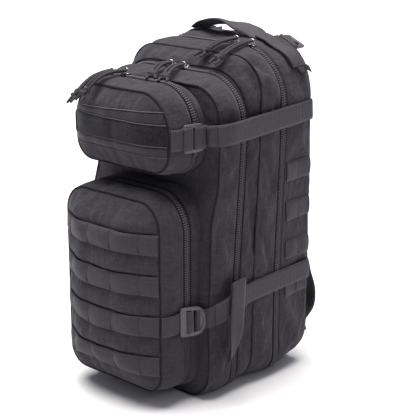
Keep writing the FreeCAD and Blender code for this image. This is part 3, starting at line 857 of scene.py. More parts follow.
def inside(o, x, z):
    """Whether a point lies inside an outline."""
    if not (abs(x) <= o["half"] and o["low"] <= z <= o["top"]):
        return False
    for r, corner_z, beyond in corners_of(o):
        dx, dz = abs(x) - (o["half"] - r), (z - corner_z) * beyond
        if dx > 0 and dz > 0 and math.hypot(dx, dz) > r:
            return False
    return True


def rim_distance(o, x, z):
    """Roughly how far a point is inside an outline."""
    straight = min(o["half"] - abs(x), z - o["low"], o["top"] - z)
    for r, corner_z, beyond in corners_of(o):
        dx, dz = abs(x) - (o["half"] - r), (z - corner_z) * beyond
        if dx > 0 and dz > 0:
            straight = min(straight, r - math.hypot(dx, dz))
    return max(straight, 0.0)


def panel(name, o, depth, body, node, cap, dy=0.0, bend=None, facing=-1):
    """One panel of fabric sewn all round; depth(x, z) is how far it stands out."""
    points, faces = flat_panel(o)
    geometry = Geometry()
    for x, z in points:
        at = Vector((x, depth_at(o, z) + dy + facing * depth(x, z), z))
        geometry.vertices.append(bend(at) if bend else at)
    for face in faces:
        a, b, c = (geometry.vertices[k] for k in face[:3])
        order = list(face) if (b - a).cross(c - a).y * facing > 0 else list(face)[::-1]
        geometry.faces.append(order)
        geometry.uvs.append([(points[k][0] * MM, points[k][1] * MM) for k in order])
    piece = geometry.object(name, PACK)
    sewn = {i for i, (x, z) in enumerate(points) if rim_distance(o, x, z) < 0.5}
    if cap:
        soft(piece, lambda k: k in sewn, cap, pressure=2.5, grow=0.012)
    finish_cloth(piece)
    return dress(piece, body, "pack_fabric", node)


def full(o, height, reach=26.0, scallop=None):
    """Depth of a full pocket's panel."""
    def depth(x, z):
        near = rim_distance(o, x, z)
        crowned = height * (1 - (1 - min(near / reach, 1)) ** 2)
        wide = 1 - 0.25 * (x / o["half"]) ** 2
        return crowned * wide + (scallop(x, z) * min(near / 12, 1) if scallop else 0)
    return depth


def lower_scallop(x, z):
    """Fabric billows between the webbing rows and is drawn in along their edges."""
    swell = 0.0
    for row in LOWER_ROWS:
        above = z - (row + WEBBING / 2)
        swell += 3.4 * math.exp(-((above - 10) / 8) ** 2)
        swell -= 2.6 * math.exp(-((above + 1) / 3.5) ** 2)
        swell -= 1.4 * math.exp(-((above + WEBBING) / 3.0) ** 2)
    for tack in TACKS:
        swell -= 0.8 * math.exp(-((x - tack) / 4) ** 2)
    ripple = noise.noise(Vector((x * 0.028, 3.1, z * 0.028))) * 2.8
    ripple += noise.noise(Vector((x * 0.075, 9.4, z * 0.06))) * 1.1
    return swell + ripple


def upper_ripple(x, z):
    """Slack in the upper pocket's face."""
    ripple = noise.noise(Vector((x * 0.03, 5.7, z * 0.03))) * 2.2
    return ripple + noise.noise(Vector((x * 0.08, 1.2, z * 0.07))) * 0.9 - 1.0 * math.exp(-(x / 5) ** 2)


def slack(p):
    """The loose waviness of sewn fabric, as a distance."""
    broad = noise.noise(p * 0.022 + Vector((7, 0, 0))) * 2.2
    return broad + noise.noise(Vector((p.x * 0.05, p.y * 0.05, p.z * 0.035)) + Vector((0, 9, 0))) * 1.5


# ---- back pads and shoulder straps ----
def pad_from(node, name, material, slot, voxel, cap):
    """A stuffed piece made from its frame solid: remeshed, inflated and smoothed."""
    mesh = NODES[node].data.copy()
    mesh.materials.clear()
    mesh.materials.append(material)
    piece = bpy.data.objects.new(name, mesh)
    bpy.context.scene.collection.objects.link(piece)
    modify(piece, "REMESH", mode="VOXEL", voxel_size=voxel * MM, use_smooth_shade=True)
    apply_modifiers(piece)
    modify(piece, "SMOOTH", factor=0.5, iterations=6)
    apply_modifiers(piece)
    soft(piece, lambda k: False, cap, pressure=3.5, grow=0.0)
    modify(piece, "SUBSURF", levels=1, render_levels=1)
    dress(piece, NODES[node]["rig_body"], slot, node)


def panels():
    """The faces of pockets and compartments. The two that carry webbing are given back."""
    lower = panel("lower_pocket_face", LOWER_EDGE, full(LOWER_EDGE, CROWN["lower"], 52, lower_scallop),
                  "lower_lid", "lower_pocket_panel", 4.0)
    upper = panel("upper_pocket_face", UPPER_EDGE, full(UPPER_EDGE, CROWN["upper"], 34, upper_ripple),
                  "upper_lid", "upper_pocket_panel", 3.0)
    panel("middle_front_face", MIDDLE_EDGE, full(MIDDLE_EDGE, 1.5, 30), "middle_front", "middle_front_panel",
          3.0, dy=0.5, bend=middle_bend)
    panel("main_front_face", offset(MAIN_EDGE, -0.4), full(MAIN_EDGE, 0.1), "main_front", "main_front_panel",
          0, dy=1.0)
    panel("back_face", BACK_EDGE, full(BACK_EDGE, 0.8, 40), "pack", "back_panel", 1.5, facing=1)
    return lower, upper


# ---- pressing, piping and zips ----
STRAP_FACE = 110.2         # the fabric is held to this half width where a side strap crosses it
SIDE_FACE = 112.4          # to this one between the straps
ZIP_FACE = 109.6           # and to this one where it is sewn to the main zip
STRAP_HOLD = (11, 26)      # how far off a strap's middle the fabric is still held, and is let go
ZIP_HOLD = (7, 24)         # the same off the main zip
UPRIGHT = (40, 372)        # the sides are upright between these heights
# Each side strap's middle height along its run, as depths and heights.
STRAP_RUNS = {"lower": ((-60, -46, -30, -14, 10, 60, 122), (109, 115.5, 121, 125, 128, 129.5, 130.5)),
              "upper": ((-46, 122), (329, 336.5))}


def strap_height(y, name):
    """Middle height of a side strap at a depth."""
    return float(np.interp(y, *STRAP_RUNS[name]))


def press_straps():
    """Holds the side fabric under the straps and within the frame's width."""
    for name in ("rear_cover", "main_front_cover", "middle_tray_cover", "middle_front_cover"):
        piece = bpy.data.objects[name]
        for v in piece.data.vertices:
            x, y, z = (c / MM for c in v.co)
            if not UPRIGHT[0] <= z <= UPRIGHT[1]:
                continue
            near = min(abs(z - strap_height(y, strap)) for strap in STRAP_RUNS)
            limit = STRAP_FACE + (SIDE_FACE - STRAP_FACE) * smooth_step(near, *STRAP_HOLD)
            if name in ("rear_cover", "main_front_cover"):
                from_zip = abs(y - depth_at(MAIN_ZIP, z))
                limit = min(limit, ZIP_FACE + (SIDE_FACE - ZIP_FACE) * smooth_step(from_zip, *ZIP_HOLD))
            if abs(x) > limit:
                v.co.x = math.copysign(limit, x) * MM
        piece.data.update()


def piping(name, o, body, lift=0.5, bend=None, radius=PIPING_R, dy=-0.4, wobble=0.9):
    """Cord bound in fabric along a seam."""
    points, ways = ring(o, counts(o, o, 6))
    line = []
    for p, way in zip(points, ways):
        stray = noise.noise(p * 0.03 + Vector((0, 0, len(name)))) * wobble
        q = p + way * (lift + stray) + Vector((0, dy + stray, 0))
        q.z = max(q.z, radius + 0.05)
        line.append(bend(q) if bend else q)
    Geometry().tube(line, radius, 10, closed=True).piece(name, PIPING_AND_SHADOW, body, "pack_fabric")


def pipings():
    """Bound cord round the pockets' faces and every seam that shows."""
    piping("lower_piping", LOWER_EDGE, "lower_lid")
    piping("upper_piping", UPPER_EDGE, "upper_lid")
    piping("middle_piping", MIDDLE_EDGE, "middle_front", bend=middle_bend)
    piping("main_piping", MAIN_EDGE, "main_front", lift=0.1, wobble=0.4)
    piping("back_piping", BACK_EDGE, "pack", lift=0.0, dy=1.0)
    piping("lower_seam_piping", LOWER_SEAM, "middle_front", 0.2, middle_bend, 1.0, 0.0)
    piping("upper_seam_piping", UPPER_SEAM, "middle_front", 0.2, middle_bend, 1.0, 0.0)


def zip_line(o, end, step):
    """Points along a zip above a height, evenly spaced, with their outward ways."""
    points, ways = ring(o, counts(o, o, 2.0))
    kept = [(p, w) for p, w in zip(points, ways) if p.z > end]
    places, total = [kept[0]], 0.0          # total is how far the last place lies behind
    for (p, w), (q, v) in zip(kept, kept[1:]):
        length = (q - p).length
        while total + length >= step:
            share = (step - total) / length
            p = p.lerp(q, share)
            w = w.lerp(v, share).normalized()
            places.append((p.copy(), w.copy()))
            length = (q - p).length
            total = 0.0
        total += length
    return places


def zip_cloth(name, rows, ways, end, body):
    """A zip's tape above a height, and plain fabric that closes the round below it."""
    above = [i for i, p in enumerate(rows[1]) if p.z > end]
    first, last = above[0], above[-1]
    cloth = Geometry().grid([row[first:last + 1] for row in rows]).object(name + "_tape", TAPE_CLOTH)
    modify(cloth, "SOLIDIFY", thickness=0.8 * MM, offset=-1.0)
    dress(cloth, body, "zip_tape", name)
    below = ways[last:] + ways[:first + 1]
    rest = [[p + w * TAPE_SINK for p, w in zip(row[last:] + row[:first + 1], below)] for row in rows]
    for row in rest:
        for p in row:
            p.z = max(p.z, 0.0)
    sole = Geometry().grid(rest).object(name + "_sole", PACK)
    modify(sole, "SOLIDIFY", thickness=1.0 * MM, offset=-1.0)
    dress(sole, body, "pack_fabric")


def zip_teeth(name, zipped, end, body, towards):
    """One side's coil, a bent tooth at every pitch, and the stitches that hold it to its tape."""
    coil = Geometry()
    thread = []
    back = Vector((0, towards, 0))
    places = zip_line(zipped, end, TOOTH_PITCH)
    for (p, w), (q, _) in zip(places, places[1:]):
        lean = (q - p).normalized() * (TOOTH_PITCH / 4 * towards)
        at = p - w * (TAPE_SINK - TOOTH_RISE)
        coil.tube([at - back * 0.35 + lean - w * 0.2, at + back + lean * 0.8 + w * 0.35,
                   at + back * 2.7 + w * 0.4, at + back * 3.8 - w * 0.4], TOOTH_R, 6)
        thread.append(at + back * 1.7 + w)
    coil.piece(name + "_teeth", TEETH, body, "zip_tape")
    Geometry().tube(thread, 0.4, 6).piece(name + "_stitching", THREAD, body, "zip_tape")


def zip_edge_shadows(name, edge, n, end, body, towards):
    """The folded edge of the fabric beside a zip: a lip on top and the turned fold under it, both near-black
    tubes as painted shadow lines.
    """
    folded = [(p, w) for p, w in zip(*ring(edge, n)) if p.z > end - 4]
    # Painted shadow: both tubes are near-black and stand for the shade along the fabric's folded edge.
    lip = Geometry().tube([p + w * 0.1 for p, w in folded], 0.75, 8, squash=0.8)
    lip.piece(name + "_lip", PIPING_AND_SHADOW, body, "pack_fabric")
    under = [p + w * 0.5 + Vector((0, -towards * 0.9, 0)) for p, w in folded]
    fold = Geometry().tube(under, 1.35 if towards < 0 else 1.2, 6)
    fold.piece(name + "_fold", PIPING_AND_SHADOW, body, "pack_fabric")


def zip_half(name, fixed, zipped, end, body, towards):
    """One half of a zip, down to a height on both sides; towards is -1 in front, 1 behind."""
    share = share_for(zipped, fixed, TAPE) if towards > 0 else share_for(fixed, zipped, TAPE)
    edge = between(zipped, fixed, share)
    start = between(zipped, fixed, TEETH_GAP / TAPE * share)
    n = counts(fixed, zipped)
    ways = ring(edge, n)[1]
    rows = [ring(o, n)[0] for o in (edge, between(edge, start, 0.5), start)]
    rows = [[p - w * TAPE_SINK for p, w in zip(row, ways)] for row in rows]
    rows[0] = [p - w for p, w in zip(rows[0], ways)]
    if towards > 0:
        rows = rows[::-1]
    zip_cloth(name, rows, ways, end, body)
    zip_teeth(name, zipped, end, body, towards)
    zip_edge_shadows(name, edge, n, end, body, towards)


def zips():
    """Every zip's two halves. Its end is the height down to which it runs on both sides."""
    for name, edge, zipped, seam, end, front, rear in (
            ("lower", LOWER_EDGE, LOWER_ZIP, LOWER_SEAM, 95, "lower_lid", "middle_front"),
            ("upper", UPPER_EDGE, UPPER_ZIP, UPPER_SEAM, 305, "upper_lid", "middle_front"),
            ("middle", MIDDLE_EDGE, MIDDLE_ZIP, MIDDLE_SEAM, 12, "middle_front", "main_front"),
            ("main", MAIN_EDGE, MAIN_ZIP, BACK_EDGE, 12, "main_front", "pack")):
        zip_half(name + "_zip_front", edge, zipped, end, front, -1)
        zip_half(name + "_zip_rear", seam, zipped, end, rear, 1)


# ---- webbing sewn on the faces ----
BAND_STEP = 2.5
IN_FRONT, BESIDE = -220, 200             # where rays at the pack's front and its right side start
HEM_THIN = 0.4             # how thick webbing is at its woven edges, against its middle
STITCH, STITCH_GAP, STITCH_R = 2.3, 1.1, 0.28


def surface_of(piece):
    """Ray-castable surface of a finished piece, in metres."""
    bpy.context.view_layer.update()
    return BVHTree.FromObject(piece, bpy.context.evaluated_depsgraph_get())


def hit(surface, start, way):
    """The first point of a surface that a ray meets, in millimetres."""
    place = surface.ray_cast(Vector(start) * MM, Vector(way))[0]
    return place / MM if place else None


def face_depth(surface, o, x, z):
    """How far back a pocket's face lies."""
    place = hit(surface, (x, IN_FRONT, z), (0, 1, 0))
    return place.y if place else o["y"]


def side_reach(surface, y, z):
    """How far out the right side's fabric lies."""
    place = hit(surface, (BESIDE, y, z), (-1, 0, 0))
    return place.x if place else 109


def cell_arch(x, tacks):
    """The share of its full height by which webbing stands out between two tacks."""
    for a, b in zip(tacks, tacks[1:]):
        if a <= x <= b:
            return math.sin(math.pi * (x - a) / (b - a)) ** 0.5
    return 0.0


def width_at(o, z):
    """Half width of an outline at a height."""
    for r, corner, beyond in corners_of(o):
        over = (z - corner) * beyond
        if over > 0:
            return o["half"] - r + math.sqrt(max(r * r - over * over, 0))
    return o["half"]


def face_band(geometry, surface, o, z0, z1, base, thick, arch, tacks, gape=0.0, cells=6, rise=(0, 0)):
    """Webbing across a pocket's face between two heights, from piping to piping."""
    reach = min(width_at(o, z0), width_at(o, z1)) - 0.5
    number = int(2 * reach / BAND_STEP)
    rows = []
    for i in range(number + 1):
        x = -reach + 2 * reach * i / number
        swell = cell_arch(x, tacks)
        front, rear = [], []
        for c in range(cells + 1):
            share = c / cells
            z = z0 + (z1 - z0) * share + (rise[0] + (rise[1] - rise[0]) * share) * x / reach
            y = face_depth(surface, o, x, z)
            out = base + arch * swell * math.sin(math.pi * share) + gape * swell * share ** 3
            ends = HEM_THIN if c in (0, cells) else 1.0
            front.append(Vector((x, y - out - thick * ends, z)))
            rear.append(Vector((x, y - out + 0.25, z)))
        rows.append(front + rear[::-1])
    smooth_rows(rows)
    geometry.grid(rows, closed=True, ends=True, flip=True)


def smooth_rows(rows):
    """Evens out the depth of neighbouring columns, twice over."""
    for _ in range(2):
        depth = [[p.y for p in row] for row in rows]
        for i in range(1, len(rows) - 1):
            for k, p in enumerate(rows[i]):
                p.y = (depth[i - 1][k] + 2 * depth[i][k] + depth[i + 1][k]) / 4


def stitches(geometry, places):
    """A row of stitches along points with outward ways."""
    travelled = 0.0
    run = None
    for (p, w), (q, _) in zip(places, places[1:]):
        if run is None and travelled >= STITCH_GAP:
            run, travelled = (p, w), 0.0
        elif run is not None and travelled >= STITCH:
            start, out = run
            over = (p - start).normalized().cross(out).normalized()
            geometry.grid([[c + over * (STITCH_R * math.cos(t)) + out * (STITCH_R * math.sin(t) + 0.1)
                            for t in (0, 2.1, 4.2)] for c in (start, p)], closed=True, ends=True)
            run, travelled = None, 0.0
        travelled += (q - p).length


def zigzag(geometry, place, low, high, turns, radius):
    """A bar tack up a webbing row; place gives the thread's point at a height, on one side or the other."""
    line = [place(low + (high - low) * k / turns, 1 if k % 2 else -1) for k in range(turns + 1)]
    geometry.tube(line, radius, 4)


def tack_lines(geometry, surface, o, z0, z1, xs, out):
    """Bar tacks at each cell's end of a webbing row."""
    for x in xs:
        if abs(x) > min(width_at(o, z0), width_at(o, z1)) - 4:
            continue
        zigzag(geometry, lambda z, side: Vector((x + 0.55 * side, face_depth(surface, o, x, z) - out, z)),
               z0 + 1.2, z1 - 1.2, 21, 0.5)


def pocket_faces(lower_face, upper_face):
    """Webbing rows on the lower pocket, the loop field with its bound edges on the upper one."""
    lower = surface_of(lower_face)
    rows = Geometry()
    tacks = Geometry()
    cells = (-77,) + TACKS + (77,)
    for z in LOWER_ROWS:
        z0, z1 = z - WEBBING / 2, z + WEBBING / 2
        face_band(rows, lower, LOWER_EDGE, z0, z1, 0.5, 1.6, 2.0, cells, gape=2.2)
        tack_lines(tacks, lower, LOWER_EDGE, z0, z1, TACKS, 2.9)
    rows.piece("front_webbing_rows", TRIM, "lower_lid", "webbing", "front_webbing")
    tacks.piece("front_webbing_tacks", THREAD, "lower_lid", "webbing")
    upper = surface_of(upper_face)
    span = (-74, -38, 0, 38, 74)
    field = Geometry()
    face_band(field, upper, UPPER_EDGE, 319.5, 344.5, 0.3, 1.5, 0.3, span)
    field.piece("loop_field_pile", PILE, "upper_lid", "loop_pile", "loop_field")
    borders = Geometry()
    face_band(borders, upper, UPPER_EDGE, 307.2, 319.3, 0.2, 1.1, 0.3, span, cells=4)
    face_band(borders, upper, UPPER_EDGE, 344.7, 355.5, 0.2, 1.1, 0.3, span, cells=4, rise=(0, 3.5))
    borders.piece("loop_field_borders", PILE_EDGE, "upper_lid", "webbing")
    edges = Geometry()
    for z, rise in ((307.2, 0), (319.5, 0), (344.5, 0), (355.5, 3.5)):
        face_band(edges, upper, UPPER_EDGE, z - 0.5, z + 0.5, 0.9, 1.1, 0.0, span, cells=2,
                  rise=(rise, rise))
    edges.piece("loop_field_edges", EDGE_THREAD, "upper_lid", "webbing")


def side_rows():
    """Webbing rows on both sides of the rear gusset."""
    rear = surface_of(bpy.data.objects["rear_cover"])
    geometry = Geometry()
    tacks = Geometry()
    low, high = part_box("side_webbing")
    y0, y1 = low.y / MM, high.y / MM + 0.5
    cell = (y0, y0 + 24, y1 + 14)
    steps, cells = 20, 6
    for z in SIDE_ROWS:
        rows = []
        for i in range(steps + 1):
            y = y0 + (y1 - y0) * i / steps
            outer, inner = [], []
            for c in range(cells + 1):
                share = c / cells
                height = z + (share - 0.5) * WEBBING
                x = min(side_reach(rear, y, height), SIDE_FACE - 1.2)
                ends = HEM_THIN if c in (0, cells) else 1.0
                out = 0.2
                if z != SIDE_ROWS[-1]:             # the lowest row lies flat under the side strap
                    out += 1.2 * cell_arch(y, cell) * math.sin(math.pi * share)
                outer.append(Vector((x + out + 1.5 * ends, y, height)))
                inner.append(Vector((x + out - 0.3, y, height)))
            rows.append(outer + inner[::-1])
        geometry.grid(rows, closed=True, ends=True)
        zigzag(tacks, lambda height, side: Vector((side_reach(rear, cell[1], height) + 2.0,
                                                   cell[1] + 0.7 * side, height)),
               z - 11, z + 11, 19, 0.3)
    geometry.mirror().piece("side_webbing_rows", TRIM, "pack", "webbing", "side_webbing")
    tacks.mirror().piece("side_webbing_tacks", THREAD, "pack", "webbing")


# ---- moulded and cast fittings ----
def rounded(corners, radius):
    """A closed outline with its corners rounded."""
    steps = 4
    points = []
    for i, corner in enumerate(corners):
        corner = Vector(corner)
        before = Vector(corners[i - 1]) - corner
        after = Vector(corners[(i + 1) % len(corners)]) - corner
        r = min(radius, before.length * 0.45, after.length * 0.45)
        a = corner + before.normalized() * r
        b = corner + after.normalized() * r
        for k in range(steps + 1):
            t = k / steps
            points.append(a.lerp(corner, t).lerp(corner.lerp(b, t), t))
    return points


def bow(x, along, high, reach, step):
    """Points of a bowed line, from -reach to reach degrees round an ellipse's end."""
    angles = [math.radians(t) for t in range(-reach, reach + 1, step)]
    return [(x + math.cos(a) * along, math.sin(a) * high) for a in angles]


def moulding(loops, thick, bevel):
    """A flat moulded plate: the first loop is its outline, the others its windows. Millimetres, in XY."""
    curve = bpy.data.curves.new("moulding", "CURVE")
    curve.dimensions = "2D"
    curve.fill_mode = "BOTH"
    curve.extrude = thick / 2 - bevel
    curve.bevel_depth = bevel
    curve.bevel_resolution = 2
    for loop in loops:
        spline = curve.splines.new("POLY")
        spline.points.add(len(loop) - 1)
        for point, place in zip(spline.points, loop):
            point.co = (place[0], place[1], 0, 1)
        spline.use_cyclic_u = True
    piece = bpy.data.objects.new("moulding", curve)
    bpy.context.scene.collection.objects.link(piece)
    return piece


def frame_at(origin, x_way, y_way):
    """Matrix that puts a drawing's X, Y and face at a place."""
    x_way = Vector(x_way).normalized()
    face = x_way.cross(Vector(y_way)).normalized()
    y_way = face.cross(x_way).normalized()
    made = Matrix((x_way, y_way, face)).transposed().to_4x4()
    made.translation = Vector(origin)
    return made


def box_of(x0, y0, x1, y1):
    """A box's corners."""
    return [(x0, y0), (x1, y0), (x1, y1), (x0, y1)]


def ladder_lock(place, high, grip):
    """Ladder lock: thin rails, front and middle bars, and a round grip that stands off the strap."""
    geometry = Geometry()
    h, d = high / 2, LOCK_DEEP / 2
    rail = 2.6
    if grip:
        outline = rounded([(d * 0.2, h), (-d, h), (-d, -h), (d * 0.2, -h)], 3.4)[3:-3]
        outline += bow(d * 0.24, d * 0.88, h - 0.4, 84, 12)
        windows = [rounded(box_of(-d + 6.2, -h + rail, -2.6, h - rail), 1.2),
                   rounded([(0.0, -h + rail), (5.6, -h + rail + 0.6), (9.4, -h * 0.55), (9.4, h * 0.55),
                            (5.6, h - rail - 0.6), (0.0, h - rail)], 2.2)]
    else:
        outline = rounded([(-d, -h), (d * 0.5, -h), (d * 0.82, -h * 0.8), (d * 0.82, h * 0.8), (d * 0.5, h),
                           (-d, h)], 2.6)
        windows = [rounded(box_of(-d + 3.4, -h + rail, 0.2, h - rail), 1.2),
                   rounded(box_of(3.8, -h + rail, 8.4, h - rail), 1.2)]
    geometry.take(moulding([outline] + windows, 3.2, 0.9), place)
    if grip:
        geometry.tube([place @ Vector((x, y, 1.9)) for x, y in bow(5.2, 9.2, h - 4.0, 66, 11)], 1.5, 8)
    return geometry


# Each side strap's lock: its centre, how far its rear end is turned outwards in degrees, and its height.
LOCKS = {"lower": ((91.5, -72.0, 108.0), 25, 35.0), "upper": ((88.6, -63.5, 327.5), 11, 31.5)}
LOCK_DEEP = 30.0
# The webbing wrapped round each lock's bars, seen from above: along the lock and out from it.
LOCK_WRAPS = {
    "lower": (((-9.2, -2.2), (-8.4, 0.2), (-6.8, 1.6), (-4.4, 2.5), (-2.0, 2.3), (-0.6, 0.9), (-0.2, -2.0)),
              ((4.2, -2.2), (4.9, 0.0), (6.2, 1.2), (8.2, 1.5), (9.6, 0.4), (10.4, -2.0))),
    "upper": (((-16.6, -2.0), (-16.2, 0.6), (-14.6, 2.2), (-12.0, 2.8), (-9.0, 2.4), (-6.0, 2.3),
               (-4.2, 1.0), (-3.8, -2.0)),
              ((-1.7, -2.2), (-1.3, 0.8), (0.4, 2.3), (4.0, 2.7), (9.5, 2.8), (12.8, 2.3), (14.6, 0.6),
               (15.6, -1.6))),
}


def lock_frame(name):
    """Where a side strap's lock sits and how it is turned."""
    place, turn, _ = LOCKS[name]
    a = math.radians(turn)
    return frame_at(place, (math.sin(a), math.cos(a), 0), (0, 0.04, 1))


def side_locks():
    """The side straps' locks on the pockets, their stubs, and the webbing wrapped round their bars."""
    for name, edge in (("lower", LOWER_EDGE), ("upper", UPPER_EDGE)):
        (_, y, z), _, high = LOCKS[name]
        place = lock_frame(name)
        piece = ladder_lock(place, high, name == "lower").mirror().object(name + "_ladder_lock", BUCKLE)
        shade_flat_faces(piece)
        dress(piece, name + "_lid", "buckle_plastic", name + "_ladder_locks")
        loop = Geometry()
        for wrap in LOCK_WRAPS[name]:
            loop.strip(spaced([place @ Vector((x, 0, out)) for x, out in wrap], 1.6), UP, 26.5, 1.5, 6)
        seam = edge["y"] + 2
        stub = [(79.6, seam - 1.5, z), (82.4, seam + 1.5, z), (84.4, seam + 6, z), (85.2, y - 22, z),
                *(place @ Vector(p) for p in ((-15.5, 0, -1.4), (-12, 0, -2.4), (-9, 0, -1.6)))]
        loop.strip(stub, UP, cells=6)
        loop.mirror().piece(name + "_stub_webbing", STRAP, name + "_lid", "webbing", name + "_strap_stubs")


def shade_flat_faces(piece):
    """Keeps a moulding's flat faces flat and its edges soft."""
    for face in piece.data.polygons:
        face.use_smooth = len(face.vertices) <= 4 and face.area < 30 * MM * MM


# ---- side straps ----
def spaced(points, step):
    """Even points on a smooth curve through the given ones."""
    points = [Vector(p) for p in points]
    ends = [points[0] * 2 - points[1]] + points + [points[-1] * 2 - points[-2]]
    fine = []
    for a, b, c, d in zip(ends, ends[1:], ends[2:], ends[3:]):
        for k in range(12):
            t = k / 12
            fine.append(0.5 * (2 * b + (c - a) * t + (2 * a - 5 * b + 4 * c - d) * t ** 2
                               + (3 * b - a - 3 * c + d) * t ** 3))
    fine.append(points[-1])
    made, total = [fine[0]], 0.0
    for p, q in zip(fine, fine[1:]):
        total += (q - p).length
        if total >= step:
            made.append(q)
            total = 0.0
    if (made[-1] - fine[-1]).length > step * 0.3:
        made.append(fine[-1])
    return made


STRAP_X = 113.2
DOUBLED = STRAP_X + 1.9                    # where a strap's second layer lies
STRAP_ACROSS = Vector((0, -0.06, 1))       # over the width of a side strap


def strap_piece(name, routes, body_a, body_b, start_y, end_y, *nodes):
    """Webbing on both sides along its routes, baked in place."""
    geometry = Geometry()
    for route in routes:
        geometry.strip(spaced(route, 3.0), STRAP_ACROSS, cells=6)
    piece = geometry.mirror().object(name, STRAP)
    stretch(piece, body_a, body_b, (0, start_y * MM, 0.2), (0, end_y * MM, 0.2), *nodes)


def strap_front(name, corner, ends, *nodes):
    """The stretch that comes round the middle compartment's corner and goes under its lock's bar."""
    lock = lock_frame(name)
    under = [lock @ Vector((15.5, 0, -1.4)), lock @ Vector((5.0, 0, -1.9))]
    strap_piece(name + "_strap_front", [corner + under], "middle_front", name + "_lid", *ends, *nodes)


def upper_straps():
    """The upper side straps, doubled back over themselves nearly all the way."""
    def at(y, x=STRAP_X):
        return x, y, strap_height(y, "upper")

    rear = [[at(122.5, 110.4), at(119), at(95), at(60), at(32)],
            [at(98, STRAP_X + 1.8), at(90, STRAP_X + 2), at(60, DOUBLED), at(32, DOUBLED)]]
    middle = [[at(32), at(10), at(-12), at(-26, 113.0), at(-36, 110.6), at(-43, 107.0), at(-47, 103.6)],
              [at(32, DOUBLED), at(10, STRAP_X + 2), at(-12, STRAP_X + 2), at(-27, STRAP_X + 1.8),
               at(-38, 111.6), at(-45, 107.6)]]
    strap_piece("upper_strap_rear", rear, "pack", "main_front", 95, 50, "upper_side_straps")
    strap_piece("upper_strap_middle", middle, "main_front", "middle_front", 12, -18)
    end = at(-47, 103.6)
    halfway = (end[2] + LOCKS["upper"][0][2]) / 2
    strap_front("upper", [end, (98.6, -50.2, halfway)], (-47, -58))


def lower_straps():
    """The lower side straps, doubled where the tail leaves them."""
    def at(y, x=STRAP_X):
        return x, y, strap_height(y, "lower")

    rear = [[at(122.5, 110.4), at(119), at(95), at(60), at(32)]]
    middle = [[at(32), at(10), at(-12), at(-28), at(-38, 112.2), at(-46, 109.8), at(-52.5, 106.6)],
              [at(-2, DOUBLED), at(-14, STRAP_X + 2), at(-27, STRAP_X + 2), at(-38, 114.2),
               at(-46, 111.6), at(-51, 109.0)]]
    strap_piece("lower_strap_rear", rear, "pack", "main_front", 95, 50, "lower_side_straps")
    strap_piece("lower_strap_middle", middle, "main_front", "middle_front", 12, -18)
    end = at(-52.5, 106.6)
    halfway = (end[2] + LOCKS["lower"][0][2]) / 2
    strap_front("lower", [end, (103.2, -57.2, halfway)], (-53, -60), "strap_front_runs")


def strap_tails():
    """The lower straps' spare ends: a loop over the strap, then a drop that twists forward."""
    line = spaced([(114.9, -18, 128), (115.3, -18.5, 141), (116.6, -19.5, 150), (119.2, -20.5, 152),
                   (120.8, -22, 147), (120.4, -22.6, 132), (119.4, -23, 114), (119.0, -24.5, 94),
                   (119.6, -29, 74), (120.6, -37, 56), (120.4, -45, 41)], 3.0)
    count = len(line)
    twists = [smooth_step(i / count, 0.55, 1.05) for i in range(count)]
    across = [Vector((-0.66 * t, 1 - 0.3 * t, 0.12 + 0.3 * t)) for t in twists]
    tail = Geometry().strip(line, across, 24.0, 1.6, 8,
                            lift=lambda i, c: 2.2 * smooth_step(i / count, 0.4, 0.8) * (c * 2) ** 2)
    tail.mirror().piece("lower_strap_tails", STRAP, "middle_front", "webbing")


# ---- zip sliders and pulls ----
VALLEY_TILT = 22.0
PULLS = {
    "main_left": ([(35, 64, 421.4), (35, 48, 421.4), (33, 32, 418.4), (30, 17, 411.4)], (1, 0, 0)),
    "main_right": ([(58.6, 64, 420.2), (58, 48, 419.6), (57, 30, 414.4), (56, 13, 406.4)], (1, 0, 0)),
    "middle_left": ([(-13, -2, 394.2), (-10, -16, 395.4), (-3, -33, 393.6), (8, -50, 389.2)], (1, 0.4, 0)),
    "middle_right": ([(8, -2, 394.2), (11, -16, 395.0), (18, -33, 393.0), (28, -50, 388.6)], (1, 0.4, 0)),
    "upper_left": ([(-53.8, -61.4, 387.2), (-55, -77, 387), (-58, -94, 379.2), (-61, -109.6, 364.8)],
                   (0.94, -0.1, 0.34)),
    "upper_right": ([(-30, -61.4, 390.2), (-32, -78, 391.4), (-37, -98, 386), (-43.5, -111, 369.6)],
                    (1, 0, 0)),
    "lower_high": ([(-89.6, -76.5, 221.4), (-90.8, -84.6, 210), (-91, -88, 197), (-90.6, -89, 185)],
                   (0, 1, 0.3)),
    "lower_low": ([(-90.2, -73, 197.4), (-90.8, -71, 186), (-91, -69, 173), (-90.6, -68, 161)],
                  (0, 1, 0.1)),
}


KNOT_SIZE, KNOT_R = 4.7, 2.5             # a knot's lobes and its cord
BIGHT_DEEP = 3.2                         # how far a cord's bight stands out of its slider's bridge


def nurbs_cord(name, route, diameter):
    """A round cord whose line is a smooth spline steered by the route's points."""
    curve = bpy.data.curves.new(name, "CURVE")
    curve.dimensions = "3D"
    spline = curve.splines.new("NURBS")
    spline.points.add(len(route) - 1)
    for point, place in zip(spline.points, route):
        point.co = (*(Vector(place) * MM), 1)
    spline.order_u = 3
    spline.use_endpoint_u = True
    spline.resolution_u = 10
    curve.bevel_depth = diameter / 2
    curve.bevel_resolution = 3
    curve.use_fill_caps = True
    curve.materials.append(CORD)
    piece = bpy.data.objects.new(name, curve)
    bpy.context.scene.collection.objects.link(piece)
    return piece


def knot_line(centre, way, side):
    """One overhand knot pulled tight, as a closed line of three lobes."""
    size, count = KNOT_SIZE, 42
    up = way.cross(side).normalized()
    line = []
    for k in range(count):
        t = 2 * math.pi * k / count
        a = (math.sin(t) + 2 * math.sin(2 * t)) / 3
        b = (math.cos(t) - 2 * math.cos(2 * t)) / 3
        c = -math.sin(3 * t) / 1.6
        line.append(centre + way * (a * size) + side * (b * size * 0.9) + up * (c * size * 0.55))
    return line


